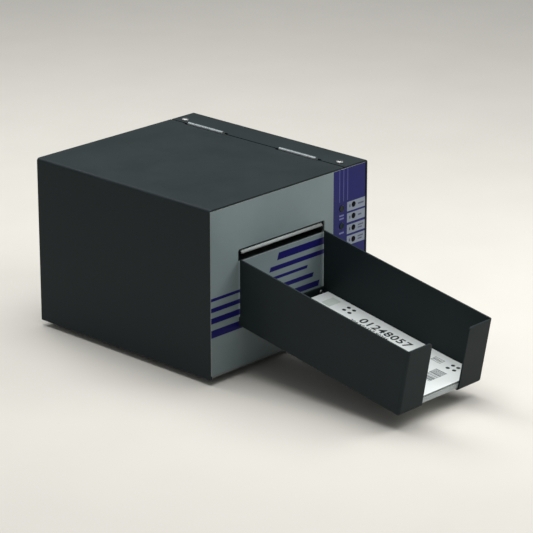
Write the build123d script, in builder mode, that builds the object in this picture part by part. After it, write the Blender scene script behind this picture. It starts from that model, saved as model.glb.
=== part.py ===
from build123d import *
import math
import os

os.makedirs("parts", exist_ok=True)

# Driving sizes of the tickets, the sheet and the seam, in millimetres and degrees.
# X runs to the right, Y to the back and Z up, from the middle of the four feet.
ticket_width = 82.55
ticket_length = 139.7
slot_room = 4.2
frame_room = 9.45
sheet = 1.2
plate_gauge = 1.5
bend_radius = 2.2
base_bend_radius = 3.2
seam_from_right = 25.05
seam_gap = 1.2
overlay_thickness = 0.4

# Across the housing from the left: a bay, the frame of the path, the buttons and the lenses
left_bay = 22.6
button_from_plate = 13.7
lens_from_button = 12.6
lens_from_side = 14.6

# Along the housing from the front: the cutter, the platen, the feed roller and the rear bay
frame_front_gap = 3.1
rotor_setback = 19.5
platen_from_rotor = 42.0
feed_from_platen = 65.0
plate_past_feed = 17.0
rear_bay = 22.5

# Up the housing: feet, main board, motor, gears, the rollers under the path and the room over it
foot_height = 4.0
board_lift = 6.0
board_gauge = 1.6
motor_room = 8.6512
motor_size = 42.3
gear_module = 0.8
platen_teeth = 40
idler_teeth = 24
pinion_teeth = 18
idler_direction = -90.0
motor_direction = -40.0
roller_radius = 7.0
path_below_top = 40.0
slot_drop = 3.1
slot_height = 8.9

# Clearances and the overrun that every cut uses
overrun = 2.0
touch_gap = 0.3
shaft_clearance = 0.05
press_clearance = 0.02


def polar(start, distance, direction):
    angle = math.radians(direction)
    return (start[0] + distance * math.cos(angle), start[1] + distance * math.sin(angle))


def centre_distance(teeth_a, teeth_b):
    return gear_module * (teeth_a + teeth_b) / 2


# Places worked out from the driving sizes
slot_width = ticket_width + slot_room
frame_inner_width = ticket_width + frame_room
frame_length = rotor_setback + platen_from_rotor + feed_from_platen + plate_past_feed
right_bay = button_from_plate + lens_from_button + lens_from_side
housing_width = left_bay + 2 * plate_gauge + frame_inner_width + right_bay
housing_depth = 2 * sheet + frame_front_gap + frame_length + rear_bay
left_x = -housing_width / 2
right_x = housing_width / 2
front_y = -housing_depth / 2
rear_y = housing_depth / 2
inner_left_x = left_x + sheet
inner_right_x = right_x - sheet
inner_front_y = front_y + sheet
inner_rear_y = rear_y - sheet
seam_x = right_x - seam_from_right
panel_y = front_y - overlay_thickness
plate_left_x = left_x + left_bay
frame_left_x = plate_left_x + plate_gauge
frame_right_x = frame_left_x + frame_inner_width
plate_right_x = frame_right_x + plate_gauge
path_centre_x = (frame_left_x + frame_right_x) / 2
frame_front_y = inner_front_y + frame_front_gap
frame_rear_y = frame_front_y + frame_length
rotor_y = frame_front_y + rotor_setback
platen_y = rotor_y + platen_from_rotor
feed_y = platen_y + feed_from_platen
base_z = foot_height
floor_z = base_z + sheet
board_z = floor_z + board_lift
board_top_z = board_z + board_gauge
motor_z = board_top_z + motor_room + motor_size / 2
idler_from_platen = polar((0, 0), centre_distance(platen_teeth, idler_teeth), idler_direction)
motor_from_platen = polar(idler_from_platen, centre_distance(idler_teeth, pinion_teeth), motor_direction)
roller_z = motor_z - motor_from_platen[1]
path_z = roller_z + roller_radius
slot_z = path_z - slot_drop
top_z = path_z + path_below_top
under_top_z = top_z - sheet


def around(centre, width):
    return (centre - width / 2, centre + width / 2)


def grown(span, amount):
    return (span[0] - amount, span[1] + amount)


def block(x_span, y_span, z_span, mode=Mode.ADD):
    spans = (x_span, y_span, z_span)
    with Locations(tuple(sum(span) / 2 for span in spans)):
        Box(*[abs(span[1] - span[0]) for span in spans], mode=mode)


def rod_x(x_span, y, z, radius, mode=Mode.ADD):
    with BuildSketch(Plane.YZ.offset(x_span[0])) as section:
        with Locations((y, z)):
            Circle(radius)
    extrude(section.sketch, amount=x_span[1] - x_span[0], mode=mode)


def rod_y(y_span, x, z, radius, mode=Mode.ADD):
    with BuildSketch(Plane.XZ.offset(-y_span[1])) as section:
        with Locations((x, z)):
            Circle(radius)
    extrude(section.sketch, amount=y_span[1] - y_span[0], mode=mode)


def rod_z(z_span, x, y, radius, mode=Mode.ADD):
    with BuildSketch(Plane.XY.offset(z_span[0])) as section:
        with Locations((x, y)):
            Circle(radius)
    extrude(section.sketch, amount=z_span[1] - z_span[0], mode=mode)


def domed_screw(head_radius, head_height, shank_radius, shank_length):
    # The head's underside is at the origin and its dome points along Z
    rim = head_height / 3
    dome_radius = (head_radius**2 + (head_height - rim) ** 2) / (2 * (head_height - rim))
    dome_angle = math.degrees(math.asin(head_radius / dome_radius))
    with BuildPart() as screw:
        with BuildSketch(Plane.XZ):
            with BuildLine():
                Polyline(
                    (0, head_height),
                    (0, -shank_length),
                    (shank_radius, -shank_length),
                    (shank_radius, 0),
                    (head_radius, 0),
                    (head_radius, rim),
                )
                CenterArc((0, head_height - dome_radius), dome_radius, 90 - dome_angle, dome_angle)
            make_face()
        revolve(axis=Axis.Z)
    return screw.part


def finish(piece, name):
    piece.part.label = name
    export_step(piece.part, f"parts/{name}.step")


# Places on the front panel, from the frame and the housing's base
button_rises = (91.9, 79.1)
button_x = plate_right_x + button_from_plate
button_heights = [base_z + rise for rise in button_rises]
button_radius = 2.3
button_fit = 0.15
lens_rises = (92.3, 83.8, 75.1, 66.4)
lens_x = button_x + lens_from_button
lens_heights = [base_z + rise for rise in lens_rises]
lens_radius = 2.1

# Places of the top screws, the base screws and the feet
front_screw_inset = (19.4, 8.9)
rear_screw_inset = (19.9, 9.4)
top_screw_places = [
    (right_x - front_screw_inset[0], front_y + front_screw_inset[1]),
    (right_x - rear_screw_inset[0], rear_y - rear_screw_inset[1]),
]
screw_radius = 1.5
screw_fit = 0.1
frame_flange = 12.0
side_flange = 13.0
foot_inset_x = left_bay - frame_flange / 2
foot_inset_y = 16.0
foot_places = [
    (side_x * (right_x - foot_inset_x), side_y * (rear_y - foot_inset_y))
    for side_x in (-1, 1)
    for side_y in (-1, 1)
]
frame_screw_inset = 28.0
frame_screw_places = [
    (x, y)
    for x in (plate_left_x - frame_flange / 2, plate_right_x + frame_flange / 2)
    for y in (frame_front_y + frame_screw_inset, frame_rear_y - frame_screw_inset)
]
side_screw_places = [
    (inner_right_x - side_flange / 2, row * (rear_y - foot_inset_y - frame_screw_inset))
    for row in (-1, 0, 1)
]
base_screw_places = frame_screw_places + side_screw_places

# Places of the sockets and the entry guide in the rear wall
throat_room = 3.45
throat_width = ticket_width + throat_room
throat_height = 5.25
throat_wall = 1.5
entry_flange = 5.0
throat_drop = 0.25
throat_z = (path_z - throat_drop, path_z - throat_drop + throat_height)
jack_from_frame = 18.0
jack_x = frame_left_x + jack_from_frame
jack_size = (9.0, 14.0, 11.0)
jack_z = board_top_z + jack_size[2] / 2
jack_collar_radius = 4.0
port_offset = 10.0
port_rise = 7.5
port_shell = (16.9, 8.4)
port_x = path_centre_x + port_offset
port_z = board_top_z + port_rise
switch_inset = 19.0
switch_rise = 26.0
switch_x = right_x - switch_inset
switch_z = base_z + switch_rise
switch_body = (12.6, 18.0, 19.0)

# Tray line: its rim meets the panel at a set height and slopes down to the front
tray_tilt = 10.03
tray_wall = 48.0
tray_back_room = 4.81
tray_rim_drop = 1.1
tray_side_clearance = 0.35
tray_flange_height = 7.0
tray_back_gap = 1.0
tray_screw_radius = 1.2
tray_screw_inset = 3.8
tray_width = ticket_width + 2 * (tray_side_clearance + sheet)
tray_length = sheet + touch_gap + ticket_length + tray_back_room
tray_floor_z = path_z - tray_rim_drop - tray_wall / math.cos(math.radians(tray_tilt))
tray_plane = Plane(Location((path_centre_x, panel_y, tray_floor_z), (tray_tilt, 0, 0)))
tray_forward = Axis(tray_plane.origin, tray_plane.y_dir)
tray_up = Axis(tray_plane.origin, tray_plane.z_dir)
tray_screw_z = tray_floor_z + tray_flange_height / 2
tray_screw_places = [
    (path_centre_x + side * (tray_width / 2 - tray_screw_inset), tray_screw_z) for side in (-1, 1)
]

# Chassis: front wall, base and rear wall folded from one sheet, with top flanges
chassis_right_gap = 1.25
chassis_flange = 14.0
flange_top_z = under_top_z - touch_gap
chassis_x = (inner_left_x + touch_gap, inner_right_x - chassis_right_gap)
slot_corner_radius = 1.5
with BuildPart() as chassis:
    with BuildSketch(Plane.YZ.offset(chassis_x[0])):
        with BuildLine():
            FilletPolyline(
                (front_y + chassis_flange, flange_top_z),
                (front_y, flange_top_z),
                (front_y, base_z),
                (rear_y, base_z),
                (rear_y, flange_top_z),
                (rear_y - chassis_flange, flange_top_z),
                radius=(bend_radius, base_bend_radius, base_bend_radius, bend_radius),
            )
            offset(amount=sheet, side=Side.LEFT)
        make_face()
    extrude(amount=chassis_x[1] - chassis_x[0])
    # Room for the bend of the hinged cover at the top left
    block(
        grown((chassis_x[0], inner_left_x + bend_radius), touch_gap),
        grown((front_y, rear_y), overrun),
        (under_top_z - bend_radius, top_z),
        Mode.SUBTRACT,
    )
    # Exit slot, with round corners
    with BuildSketch(Plane.XZ.offset(-inner_front_y - overrun)):
        with Locations((path_centre_x, slot_z + slot_height / 2)):
            RectangleRounded(slot_width, slot_height, slot_corner_radius)
    extrude(amount=sheet + 2 * overrun, mode=Mode.SUBTRACT)
    front_wall = grown((front_y, inner_front_y), overrun)
    rear_wall = grown((inner_rear_y, rear_y), overrun)
    base_wall = grown((base_z, floor_z), overrun)
    for z in button_heights:
        rod_y(front_wall, button_x, z, button_radius + button_fit, Mode.SUBTRACT)
    for z in lens_heights:
        rod_y(front_wall, lens_x, z, lens_radius + press_clearance, Mode.SUBTRACT)
    for x, z in tray_screw_places:
        rod_y(front_wall, x, z, tray_screw_radius + screw_fit, Mode.SUBTRACT)
    for x, y in base_screw_places + foot_places:
        rod_z(base_wall, x, y, screw_radius + screw_fit, Mode.SUBTRACT)
    flange_wall = (flange_top_z - sheet - touch_gap, top_z)
    for x, y in top_screw_places:
        rod_z(flange_wall, x, y, screw_radius + screw_fit, Mode.SUBTRACT)
    block(
        around(path_centre_x, throat_width + 2 * (throat_wall + press_clearance)),
        rear_wall,
        grown(throat_z, throat_wall + press_clearance),
        Mode.SUBTRACT,
    )
    rod_y(rear_wall, jack_x, jack_z, jack_collar_radius + screw_fit, Mode.SUBTRACT)
    block(
        around(port_x, port_shell[0] + touch_gap),
        rear_wall,
        around(port_z, port_shell[1] + touch_gap),
        Mode.SUBTRACT,
    )
    block(
        around(switch_x, switch_body[0] + screw_fit),
        rear_wall,
        around(switch_z, switch_body[2] + screw_fit),
        Mode.SUBTRACT,
    )
finish(chassis, "chassis")

# Hinge places: two butt hinges stand proud of the top along the seam
hinge_length = 35.6
hinge_setback_front = 43.7
hinge_setback_rear = 36.1
hinge_centres = [front_y + hinge_setback_front, rear_y - hinge_setback_rear]
knuckle_count = 5
knuckle_radius = 1.6
knuckle_gap = 0.2
hinge_pin_radius = 0.8
leaf_width = 15.0
leaf_gauge = 1.2
hinge_notch_half = 2.3
hinge_end_gap = 3.2
knuckle_length = hinge_length / knuckle_count


def hinge_notches():
    for centre in hinge_centres:
        block(
            around(seam_x, 2 * hinge_notch_half),
            around(centre, hinge_length + 2 * hinge_end_gap),
            grown((under_top_z, top_z), overrun),
            Mode.SUBTRACT,
        )


# Hinged cover: the top and the left side folded from one sheet
with BuildPart() as hinged_cover:
    with BuildSketch(Plane.XZ.offset(-rear_y)):
        with BuildLine():
            FilletPolyline(
                (seam_x - seam_gap / 2, top_z),
                (left_x, top_z),
                (left_x, base_z),
                radius=bend_radius,
            )
            offset(amount=sheet, side=Side.LEFT)
        make_face()
    extrude(amount=housing_depth)
    hinge_notches()
finish(hinged_cover, "hinged_cover")

# Side cover: top strip, right side and a flange that lies on the base
with BuildPart() as side_cover:
    with BuildSketch(Plane.XZ.offset(-rear_y)):
        with BuildLine():
            FilletPolyline(
                (seam_x + seam_gap / 2, top_z),
                (right_x, top_z),
                (right_x, floor_z),
                (inner_right_x - side_flange, floor_z),
                radius=bend_radius,
            )
            offset(amount=sheet, side=Side.RIGHT)
        make_face()
    extrude(amount=housing_depth)
    hinge_notches()
    flange_x = (inner_right_x - side_flange - overrun, inner_right_x)
    corner = base_bend_radius + touch_gap
    for y_span in ((front_y - overrun, front_y + corner), (rear_y - corner, rear_y + overrun)):
        block(flange_x, y_span, (base_z, floor_z + bend_radius), Mode.SUBTRACT)
    foot_wall = grown((floor_z, floor_z + sheet), overrun)
    top_wall = grown((under_top_z, top_z), overrun)
    for places, wall in ((side_screw_places + foot_places, foot_wall), (top_screw_places, top_wall)):
        for x, y in places:
            rod_z(wall, x, y, screw_radius + screw_fit, Mode.SUBTRACT)
finish(side_cover, "side_cover")


# Hinge leaves lie flat under the sheet and roll up into knuckles round the pin
def hinge_leaf(side, segments):
    leaf_z = (under_top_z - leaf_gauge, under_top_z)
    for centre in hinge_centres:
        start = centre - hinge_length / 2
        inner = seam_x + side * (knuckle_radius + touch_gap)
        outer = seam_x + side * leaf_width
        block((inner, outer), around(centre, hinge_length), leaf_z)
        for index in segments:
            middle = start + (index + 0.5) * knuckle_length
            span = around(middle, knuckle_length - knuckle_gap)
            rod_y(span, seam_x, top_z, knuckle_radius)
            block((seam_x, outer), span, leaf_z)
            block((seam_x, seam_x + side * knuckle_radius), span, (leaf_z[0], top_z))
        bore = grown((start, start + hinge_length), overrun)
        rod_y(bore, seam_x, top_z, hinge_pin_radius + shaft_clearance, Mode.SUBTRACT)


with BuildPart() as hinge_fixed_leaves:
    hinge_leaf(1, range(0, knuckle_count, 2))
finish(hinge_fixed_leaves, "hinge_fixed_leaves")

with BuildPart() as hinge_cover_leaves:
    hinge_leaf(-1, range(1, knuckle_count, 2))
finish(hinge_cover_leaves, "hinge_cover_leaves")

with BuildPart() as hinge_pins:
    for centre in hinge_centres:
        rod_y(around(centre, hinge_length), seam_x, top_z, hinge_pin_radius)
finish(hinge_pins, "hinge_pins")

# Screws of the top strip, the base and the feet
top_head_radius = 2.75
top_head_height = 1.7
top_shank = 6.0
with BuildPart() as top_screws:
    with Locations(*[(x, y, top_z) for x, y in top_screw_places]):
        add(domed_screw(top_head_radius, top_head_height, screw_radius, top_shank))
finish(top_screws, "top_screws")

pan_radius = 2.8
pan_height = 1.6
pan_shank = 4.0
foot_radius = 7.0
foot_taper = 1.0
foot_seat = 2.0
with BuildPart() as base_screws:
    with Locations(*[Plane((x, y, base_z), z_dir=(0, 0, -1)) for x, y in base_screw_places]):
        add(domed_screw(pan_radius, pan_height, screw_radius, pan_shank))
    with Locations(*[Plane((x, y, foot_seat), z_dir=(0, 0, -1)) for x, y in foot_places]):
        add(domed_screw(pan_radius, pan_height, screw_radius, pan_shank + foot_height - foot_seat))
finish(base_screws, "base_screws")

# Rubber feet, tapered, with a recess for the screw's head
with BuildPart() as rubber_feet:
    for x, y in foot_places:
        with Locations((x, y, foot_height / 2)):
            Cone(foot_radius - foot_taper, foot_radius, foot_height)
        rod_z((-overrun, foot_seat), x, y, pan_radius + touch_gap, Mode.SUBTRACT)
        rod_z((0, foot_height + overrun), x, y, screw_radius + screw_fit, Mode.SUBTRACT)
finish(rubber_feet, "rubber_feet")

# Printed film on the flat of the front wall
overlay_margin = 0.15
overlay_x = (chassis_x[0] + overlay_margin, chassis_x[1] - overlay_margin)
overlay_z = (base_z + base_bend_radius, flange_top_z - bend_radius)
with BuildPart() as front_overlay:
    block(overlay_x, (panel_y, front_y), overlay_z)
    with BuildSketch(Plane.XZ.offset(-front_y - overrun)):
        with Locations((path_centre_x, slot_z + slot_height / 2)):
            RectangleRounded(slot_width, slot_height, slot_corner_radius)
    extrude(amount=overlay_thickness + 2 * overrun, mode=Mode.SUBTRACT)
    film = grown((panel_y, front_y), overrun)
    for z in button_heights:
        rod_y(film, button_x, z, button_radius + button_fit, Mode.SUBTRACT)
    for z in lens_heights:
        rod_y(film, lens_x, z, lens_radius + press_clearance, Mode.SUBTRACT)
    for x, z in tray_screw_places:
        rod_y(film, x, z, tray_screw_radius + screw_fit, Mode.SUBTRACT)
finish(front_overlay, "front_overlay")

# Push buttons: a disc through the panel with a collar behind the wall
button_proud = 0.5
button_collar_radius = 3.2
button_collar = 0.6
button_collar_gap = 0.1


def panel_button(z):
    collar_y = (inner_front_y + button_collar_gap, inner_front_y + button_collar_gap + button_collar)
    rod_y((panel_y - button_proud, collar_y[0]), button_x, z, button_radius)
    rod_y(collar_y, button_x, z, button_collar_radius)


with BuildPart() as feed_button:
    panel_button(button_heights[0])
finish(feed_button, "feed_button")

with BuildPart() as load_button:
    panel_button(button_heights[1])
finish(load_button, "load_button")

# Smoked lenses over the indicator lamps
lens_proud = 0.15
lens_behind = 0.6
with BuildPart() as indicator_lenses:
    for z in lens_heights:
        rod_y((panel_y - lens_proud, inner_front_y + lens_behind), lens_x, z, lens_radius)
finish(indicator_lenses, "indicator_lenses")

# Small upright board behind the panel, with switches and lamps on its front
panel_stud = 4.05
panel_board_margin = 8.0
panel_board_y = (inner_front_y + panel_stud, inner_front_y + panel_stud + board_gauge)
panel_board_x = (button_x - panel_board_margin, lens_x + panel_board_margin)
panel_board_z = (lens_heights[-1] - panel_board_margin, lens_heights[0] + panel_board_margin)
stud_radius = 2.0
stud_inset = 2.6
stud_places = [(x, z) for x in grown(panel_board_x, -stud_inset) for z in grown(panel_board_z, -stud_inset)]
with BuildPart() as panel_board:
    block(panel_board_x, panel_board_y, panel_board_z)
finish(panel_board, "panel_board")

# Exit bar: a slanted bright strip above the exit, bent back into a flange
bar_gap_left = 3.9
bar_gap_right = 1.4
bar_left_x = path_centre_x - slot_width / 2 + bar_gap_left
bar_width = slot_width - bar_gap_left - bar_gap_right
bar_gauge = 1.0
bar_setback = 0.2
bar_slant = 1.5
bar_foot_rise = 5.1
bar_top_drop = 1.5
bar_foot_z = slot_z + bar_foot_rise
bar_flange_top_z = slot_z + slot_height - bar_top_drop
bar_reach = 10.0
with BuildPart() as exit_bar:
    with BuildSketch(Plane.YZ.offset(bar_left_x)):
        with BuildLine():
            FilletPolyline(
                (panel_y + bar_setback, bar_foot_z),
                (panel_y + bar_setback + bar_slant, bar_flange_top_z),
                (panel_y + bar_setback + bar_slant + bar_reach, bar_flange_top_z),
                radius=bar_gauge + touch_gap,
            )
            offset(amount=bar_gauge, side=Side.RIGHT)
        make_face()
    extrude(amount=bar_width)
finish(exit_bar, "exit_bar")

# Ticket tray: a folded channel with two front lips, a finger gap and a back flange
lip_gap = 38.0
finger_notch = 22.0
lip_corner = 3.0
notch_corner = 5.0
tray_run_in = 20.0
tray_bend = 2.2
tray_inner_bend = 0.5
tray_head_radius = 1.9
tray_head_height = 1.2


def trough(inset, bend):
    with BuildPart() as form:
        with BuildSketch(tray_plane.offset(inset)):
            with Locations((0, (tray_run_in + inset - tray_length) / 2)):
                Rectangle(tray_width - 2 * inset, tray_length + tray_run_in - inset)
        extrude(amount=tray_wall)
        floor_edges = form.faces().sort_by(tray_up)[0].edges()
        back_edge = floor_edges.sort_by(tray_forward)[-1]
        front_posts = form.edges().filter_by(tray_up).group_by(tray_forward)[0]
        fillet([edge for edge in floor_edges if edge != back_edge] + list(front_posts), radius=bend)
    return form.part


with BuildPart() as ticket_tray:
    add(trough(0, tray_bend))
    add(trough(sheet, tray_inner_bend), mode=Mode.SUBTRACT)
    # Gap between the lips, running on into the floor as a finger notch
    with BuildSketch(tray_plane.offset(-overrun)) as gap:
        with Locations((0, (finger_notch - overrun) / 2 - tray_length)):
            Rectangle(lip_gap, finger_notch + overrun)
        fillet(gap.vertices().group_by(Axis.Y)[-1], radius=notch_corner)
    extrude(amount=tray_wall + 2 * overrun, mode=Mode.SUBTRACT)
    lip_tops = [
        tray_plane.from_local_coords((side * lip_gap / 2, sheet / 2 - tray_length, tray_wall))
        for side in (-1, 1)
    ]
    fillet([ticket_tray.edges().sort_by_distance(point)[0] for point in lip_tops], radius=lip_corner)
    # The walls stop just short of the panel, and the floor turns up into a flange
    tray_x = around(path_centre_x, tray_width)
    wide_x = grown(tray_x, overrun)
    flange_z = (tray_floor_z, tray_floor_z + tray_flange_height)
    block(wide_x, (panel_y - tray_back_gap, panel_y + tray_run_in), (0, top_z), Mode.SUBTRACT)
    flange_y = (panel_y - sheet, panel_y)
    block(tray_x, flange_y, flange_z)
    for x, z in tray_screw_places:
        rod_y(grown(flange_y, overrun), x, z, tray_screw_radius + screw_fit, Mode.SUBTRACT)
finish(ticket_tray, "ticket_tray")

# Screws that hold the tray's flange to the front wall
tray_shank = 5.0
with BuildPart() as tray_screws:
    with Locations(*[Plane((x, panel_y - sheet, z), z_dir=(0, -1, 0)) for x, z in tray_screw_places]):
        add(domed_screw(tray_head_radius, tray_head_height, tray_screw_radius, tray_shank))
finish(tray_screws, "tray_screws")

# Stack of printed tickets against the lips, with a slightly curled one on top
stack_height = 4.0
stack_seat_gap = 0.05
top_ticket_gauge = 0.25
curl_length = 34.0
curl_rise = 1.6
stack_front = sheet + touch_gap - tray_length
stack_back = stack_front + ticket_length
stack_base = sheet + stack_seat_gap
with BuildPart() as ticket_stack:
    with BuildSketch(tray_plane.offset(stack_base)):
        with Locations((0, (stack_front + stack_back) / 2)):
            Rectangle(ticket_width, ticket_length)
    extrude(amount=stack_height)
finish(ticket_stack, "ticket_stack")

ticket_side = Plane(
    origin=tray_plane.from_local_coords((-ticket_width / 2, 0, stack_base + stack_height)),
    x_dir=tray_plane.y_dir,
    z_dir=tray_plane.x_dir,
)
with BuildPart() as top_ticket:
    with BuildSketch(ticket_side):
        with BuildLine():
            flat = Line((stack_back, 0), (stack_front + curl_length, 0))
            TangentArc(flat @ 1, (stack_front, curl_rise), tangent=flat % 1)
            offset(amount=top_ticket_gauge, side=Side.RIGHT)
        make_face()
    extrude(amount=ticket_width)
finish(top_ticket, "top_ticket")

# Places of the mechanism between the side plates, as (y, z) pairs
shaft_radius = 3.0
pivot_from_platen = 28.0
cam_from_platen = 2.0
rotor_lift = 6.5
pivot_lift = 12.0
cam_lift = 18.0
front_rod_from_platen = 22.0
middle_rod_from_motor = 10.98
rear_rod_inset = 6.0
rod_drops = (12.0, 26.0, 16.0)
cutter_teeth = 36
cutter_pinion_teeth = 20
cutter_direction = -90.0
platen_at = (platen_y, roller_z)
feed_at = (feed_y, roller_z)
idler_at = (platen_y + idler_from_platen[0], roller_z + idler_from_platen[1])
motor_at = (platen_y + motor_from_platen[0], motor_z)
rotor_at = (rotor_y, path_z + rotor_lift)
cutter_motor_at = polar(rotor_at, centre_distance(cutter_teeth, cutter_pinion_teeth), cutter_direction)
head_pivot_at = (platen_y + pivot_from_platen, path_z + pivot_lift)
cam_at = (platen_y + cam_from_platen, path_z + cam_lift)
tie_rod_places = [
    (platen_y - front_rod_from_platen, path_z - rod_drops[0]),
    (motor_at[0] + motor_size / 2 + middle_rod_from_motor, path_z - rod_drops[1]),
    (frame_rear_y - rear_rod_inset, path_z - rod_drops[2]),
]
bush_radius = 5.0
pivot_radius = 2.5
idler_pin_radius = 2.5
journal_radius = 3.0
motor_boss_radius = 11.0
motor_screw_pitch = 31.0
cutter_boss_radius = 3.0
plate_rise = 24.0
plate_top_z = path_z + plate_rise
window_size = (24.0, 34.0)
window_from_feed = 7.0
window_drop = 46.0
window_at = (feed_y - window_from_feed, path_z - window_drop)
window_corner = 4.0
motor_screw_places = [
    (motor_at[0] + side_y * motor_screw_pitch / 2, motor_at[1] + side_z * motor_screw_pitch / 2)
    for side_y in (-1, 1)
    for side_z in (-1, 1)
]


# Side plates stand on outward feet and carry every shaft of the mechanism
def side_plate(side, bores):
    inner_x = path_centre_x + side * frame_inner_width / 2
    foot_x = inner_x + side * (plate_gauge + frame_flange)
    span = grown(sorted((inner_x, inner_x + side * plate_gauge)), overrun)
    with BuildPart() as plate:
        with BuildSketch(Plane.XZ.offset(-frame_rear_y)):
            with BuildLine():
                FilletPolyline(
                    (foot_x, floor_z),
                    (inner_x, floor_z),
                    (inner_x, plate_top_z),
                    radius=bend_radius,
                )
                offset(amount=plate_gauge, side=Side.RIGHT if side > 0 else Side.LEFT)
            make_face()
        extrude(amount=frame_rear_y - frame_front_y)
        for (y, z), radius in bores:
            rod_x(span, y, z, radius, Mode.SUBTRACT)
        with BuildSketch(Plane.YZ.offset(span[0])):
            with Locations(window_at):
                RectangleRounded(*window_size, window_corner)
        extrude(amount=span[1] - span[0], mode=Mode.SUBTRACT)
        foot_wall = grown((floor_z, floor_z + plate_gauge), overrun)
        for x, y in frame_screw_places + foot_places:
            rod_z(foot_wall, x, y, screw_radius + screw_fit, Mode.SUBTRACT)
    return plate


shared_bores = [
    (platen_at, bush_radius + press_clearance),
    (feed_at, bush_radius + press_clearance),
    (rotor_at, journal_radius + shaft_clearance),
    (head_pivot_at, pivot_radius + press_clearance),
    (cam_at, shaft_radius + shaft_clearance),
] + [(place, screw_radius + screw_fit) for place in tie_rod_places]
motor_bores = [
    (motor_at, motor_boss_radius + press_clearance),
    (idler_at, idler_pin_radius + press_clearance),
] + [(place, screw_radius + screw_fit) for place in motor_screw_places]
left_side_plate = side_plate(-1, shared_bores + [(cutter_motor_at, cutter_boss_radius + press_clearance)])
finish(left_side_plate, "left_side_plate")
right_side_plate = side_plate(1, shared_bores + motor_bores)
finish(right_side_plate, "right_side_plate")

# Tie rods space the side plates, held by a screw at each end
tie_rod_radius = 3.0
rod_thread = 8.0
frame_x = (frame_left_x, frame_right_x)
with BuildPart() as tie_rods:
    for y, z in tie_rod_places:
        rod_x(frame_x, y, z, tie_rod_radius)
        for thread_x in ((frame_x[0], frame_x[0] + rod_thread), (frame_x[1] - rod_thread, frame_x[1])):
            rod_x(thread_x, y, z, screw_radius + press_clearance, Mode.SUBTRACT)
finish(tie_rods, "tie_rods")

frame_shank = 6.0
with BuildPart() as frame_screws:
    left_planes = [Plane((plate_left_x, y, z), z_dir=(-1, 0, 0)) for y, z in tie_rod_places]
    right_planes = [
        Plane((plate_right_x, y, z), z_dir=(1, 0, 0)) for y, z in tie_rod_places + motor_screw_places
    ]
    with Locations(*left_planes, *right_planes):
        add(domed_screw(pan_radius, pan_height, screw_radius, frame_shank))
finish(frame_screws, "frame_screws")

# Ticket bed: a plate under the path, with windows for the rollers and side flanges
bed_gauge = 1.2
bed_top_z = path_z - touch_gap
bed_from_rotor = 12.5
bed_rear_gap = 4.75
bed_y = (rotor_at[0] + bed_from_rotor, inner_rear_y - bed_rear_gap)
bed_flange = 8.0
roller_window = 1.5
bush_flange_radius = 6.0
bush_flange = 1.0
platen_room = 1.45
platen_length = ticket_width + platen_room
feed_length = 60.0
with BuildPart() as ticket_bed:
    bed_z = (bed_top_z - bed_gauge, bed_top_z)
    block(frame_x, bed_y, bed_z)
    for x_span in ((frame_x[0], frame_x[0] + bed_gauge), (frame_x[1] - bed_gauge, frame_x[1])):
        block(x_span, (feed_y, bed_y[1]), (bed_top_z - bed_flange, bed_top_z))
        block(x_span, (bed_y[0], platen_y - 2 * roller_radius), (bed_top_z - bed_flange, bed_top_z))
    for y, length in ((platen_y, platen_length), (feed_y, feed_length)):
        block(
            around(path_centre_x, length + 2 * roller_window),
            around(y, 2 * (roller_radius + roller_window)),
            grown(bed_z, overrun),
            Mode.SUBTRACT,
        )
    notch = bush_flange + touch_gap
    for x_span in ((frame_x[0], frame_x[0] + notch), (frame_x[1] - notch, frame_x[1])):
        for y in (platen_y, feed_y):
            rod_x(x_span, y, roller_z, bush_flange_radius + touch_gap, Mode.SUBTRACT)
finish(ticket_bed, "ticket_bed")

# Upper guide over the feed roller, with flanges on the plates and ears for the pinch roller
guide_gauge = 1.2
guide_lift = 1.0
guide_flange = 8.0
guide_from_pivot = 7.0
guide_rear_step = 1.8
guide_y = (head_pivot_at[0] + guide_from_pivot, bed_y[1] - guide_rear_step)
guide_z = (path_z + guide_lift, path_z + guide_lift + guide_gauge)
pinch_radius = 4.8
pinch_axle_radius = 1.5
pinch_z = path_z + touch_gap + pinch_radius
ear_offset = 34.0
ear_gauge = 1.5
ear_depth = 10.0
ear_top = 4.0
with BuildPart() as upper_guide:
    block(frame_x, guide_y, guide_z)
    flange_y = (guide_y[0] + roller_window, frame_rear_y)
    for x_span in ((frame_x[0], frame_x[0] + guide_gauge), (frame_x[1] - guide_gauge, frame_x[1])):
        block(x_span, flange_y, (guide_z[0], guide_z[1] + guide_flange))
    block(
        around(path_centre_x, feed_length + 2 * roller_window),
        around(feed_y, 2 * (pinch_radius + roller_window)),
        grown(guide_z, overrun),
        Mode.SUBTRACT,
    )
    for side in (-1, 1):
        ear_x = around(path_centre_x + side * ear_offset, ear_gauge)
        block(ear_x, around(feed_y, ear_depth), (guide_z[0], pinch_z + ear_top))
        rod_x(grown(ear_x, overrun), feed_y, pinch_z, pinch_axle_radius + shaft_clearance, Mode.SUBTRACT)
finish(upper_guide, "upper_guide")

with BuildPart() as pinch_roller:
    rod_x(around(path_centre_x, feed_length), feed_y, pinch_z, pinch_radius)
    rod_x(around(path_centre_x, 2 * (ear_offset + ear_gauge)), feed_y, pinch_z, pinch_axle_radius)
finish(pinch_roller, "pinch_roller")

# Entry guide: a bezel in the rear wall with a throat that leads on to the bed
entry_flange_gauge = 1.5
with BuildPart() as entry_guide:
    throat_y = (bed_y[1] + touch_gap, rear_y + entry_flange_gauge)
    throat_x = around(path_centre_x, throat_width)
    block(grown(throat_x, throat_wall), throat_y, grown(throat_z, throat_wall))
    block(grown(throat_x, entry_flange), (rear_y, throat_y[1]), grown(throat_z, entry_flange))
    block(throat_x, grown(throat_y, overrun), throat_z, Mode.SUBTRACT)
    mouth = entry_guide.faces().sort_by(Axis.Y)[-1].inner_wires()[0].edges()
    chamfer(mouth, length=entry_flange_gauge / 2)
finish(entry_guide, "entry_guide")

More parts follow.
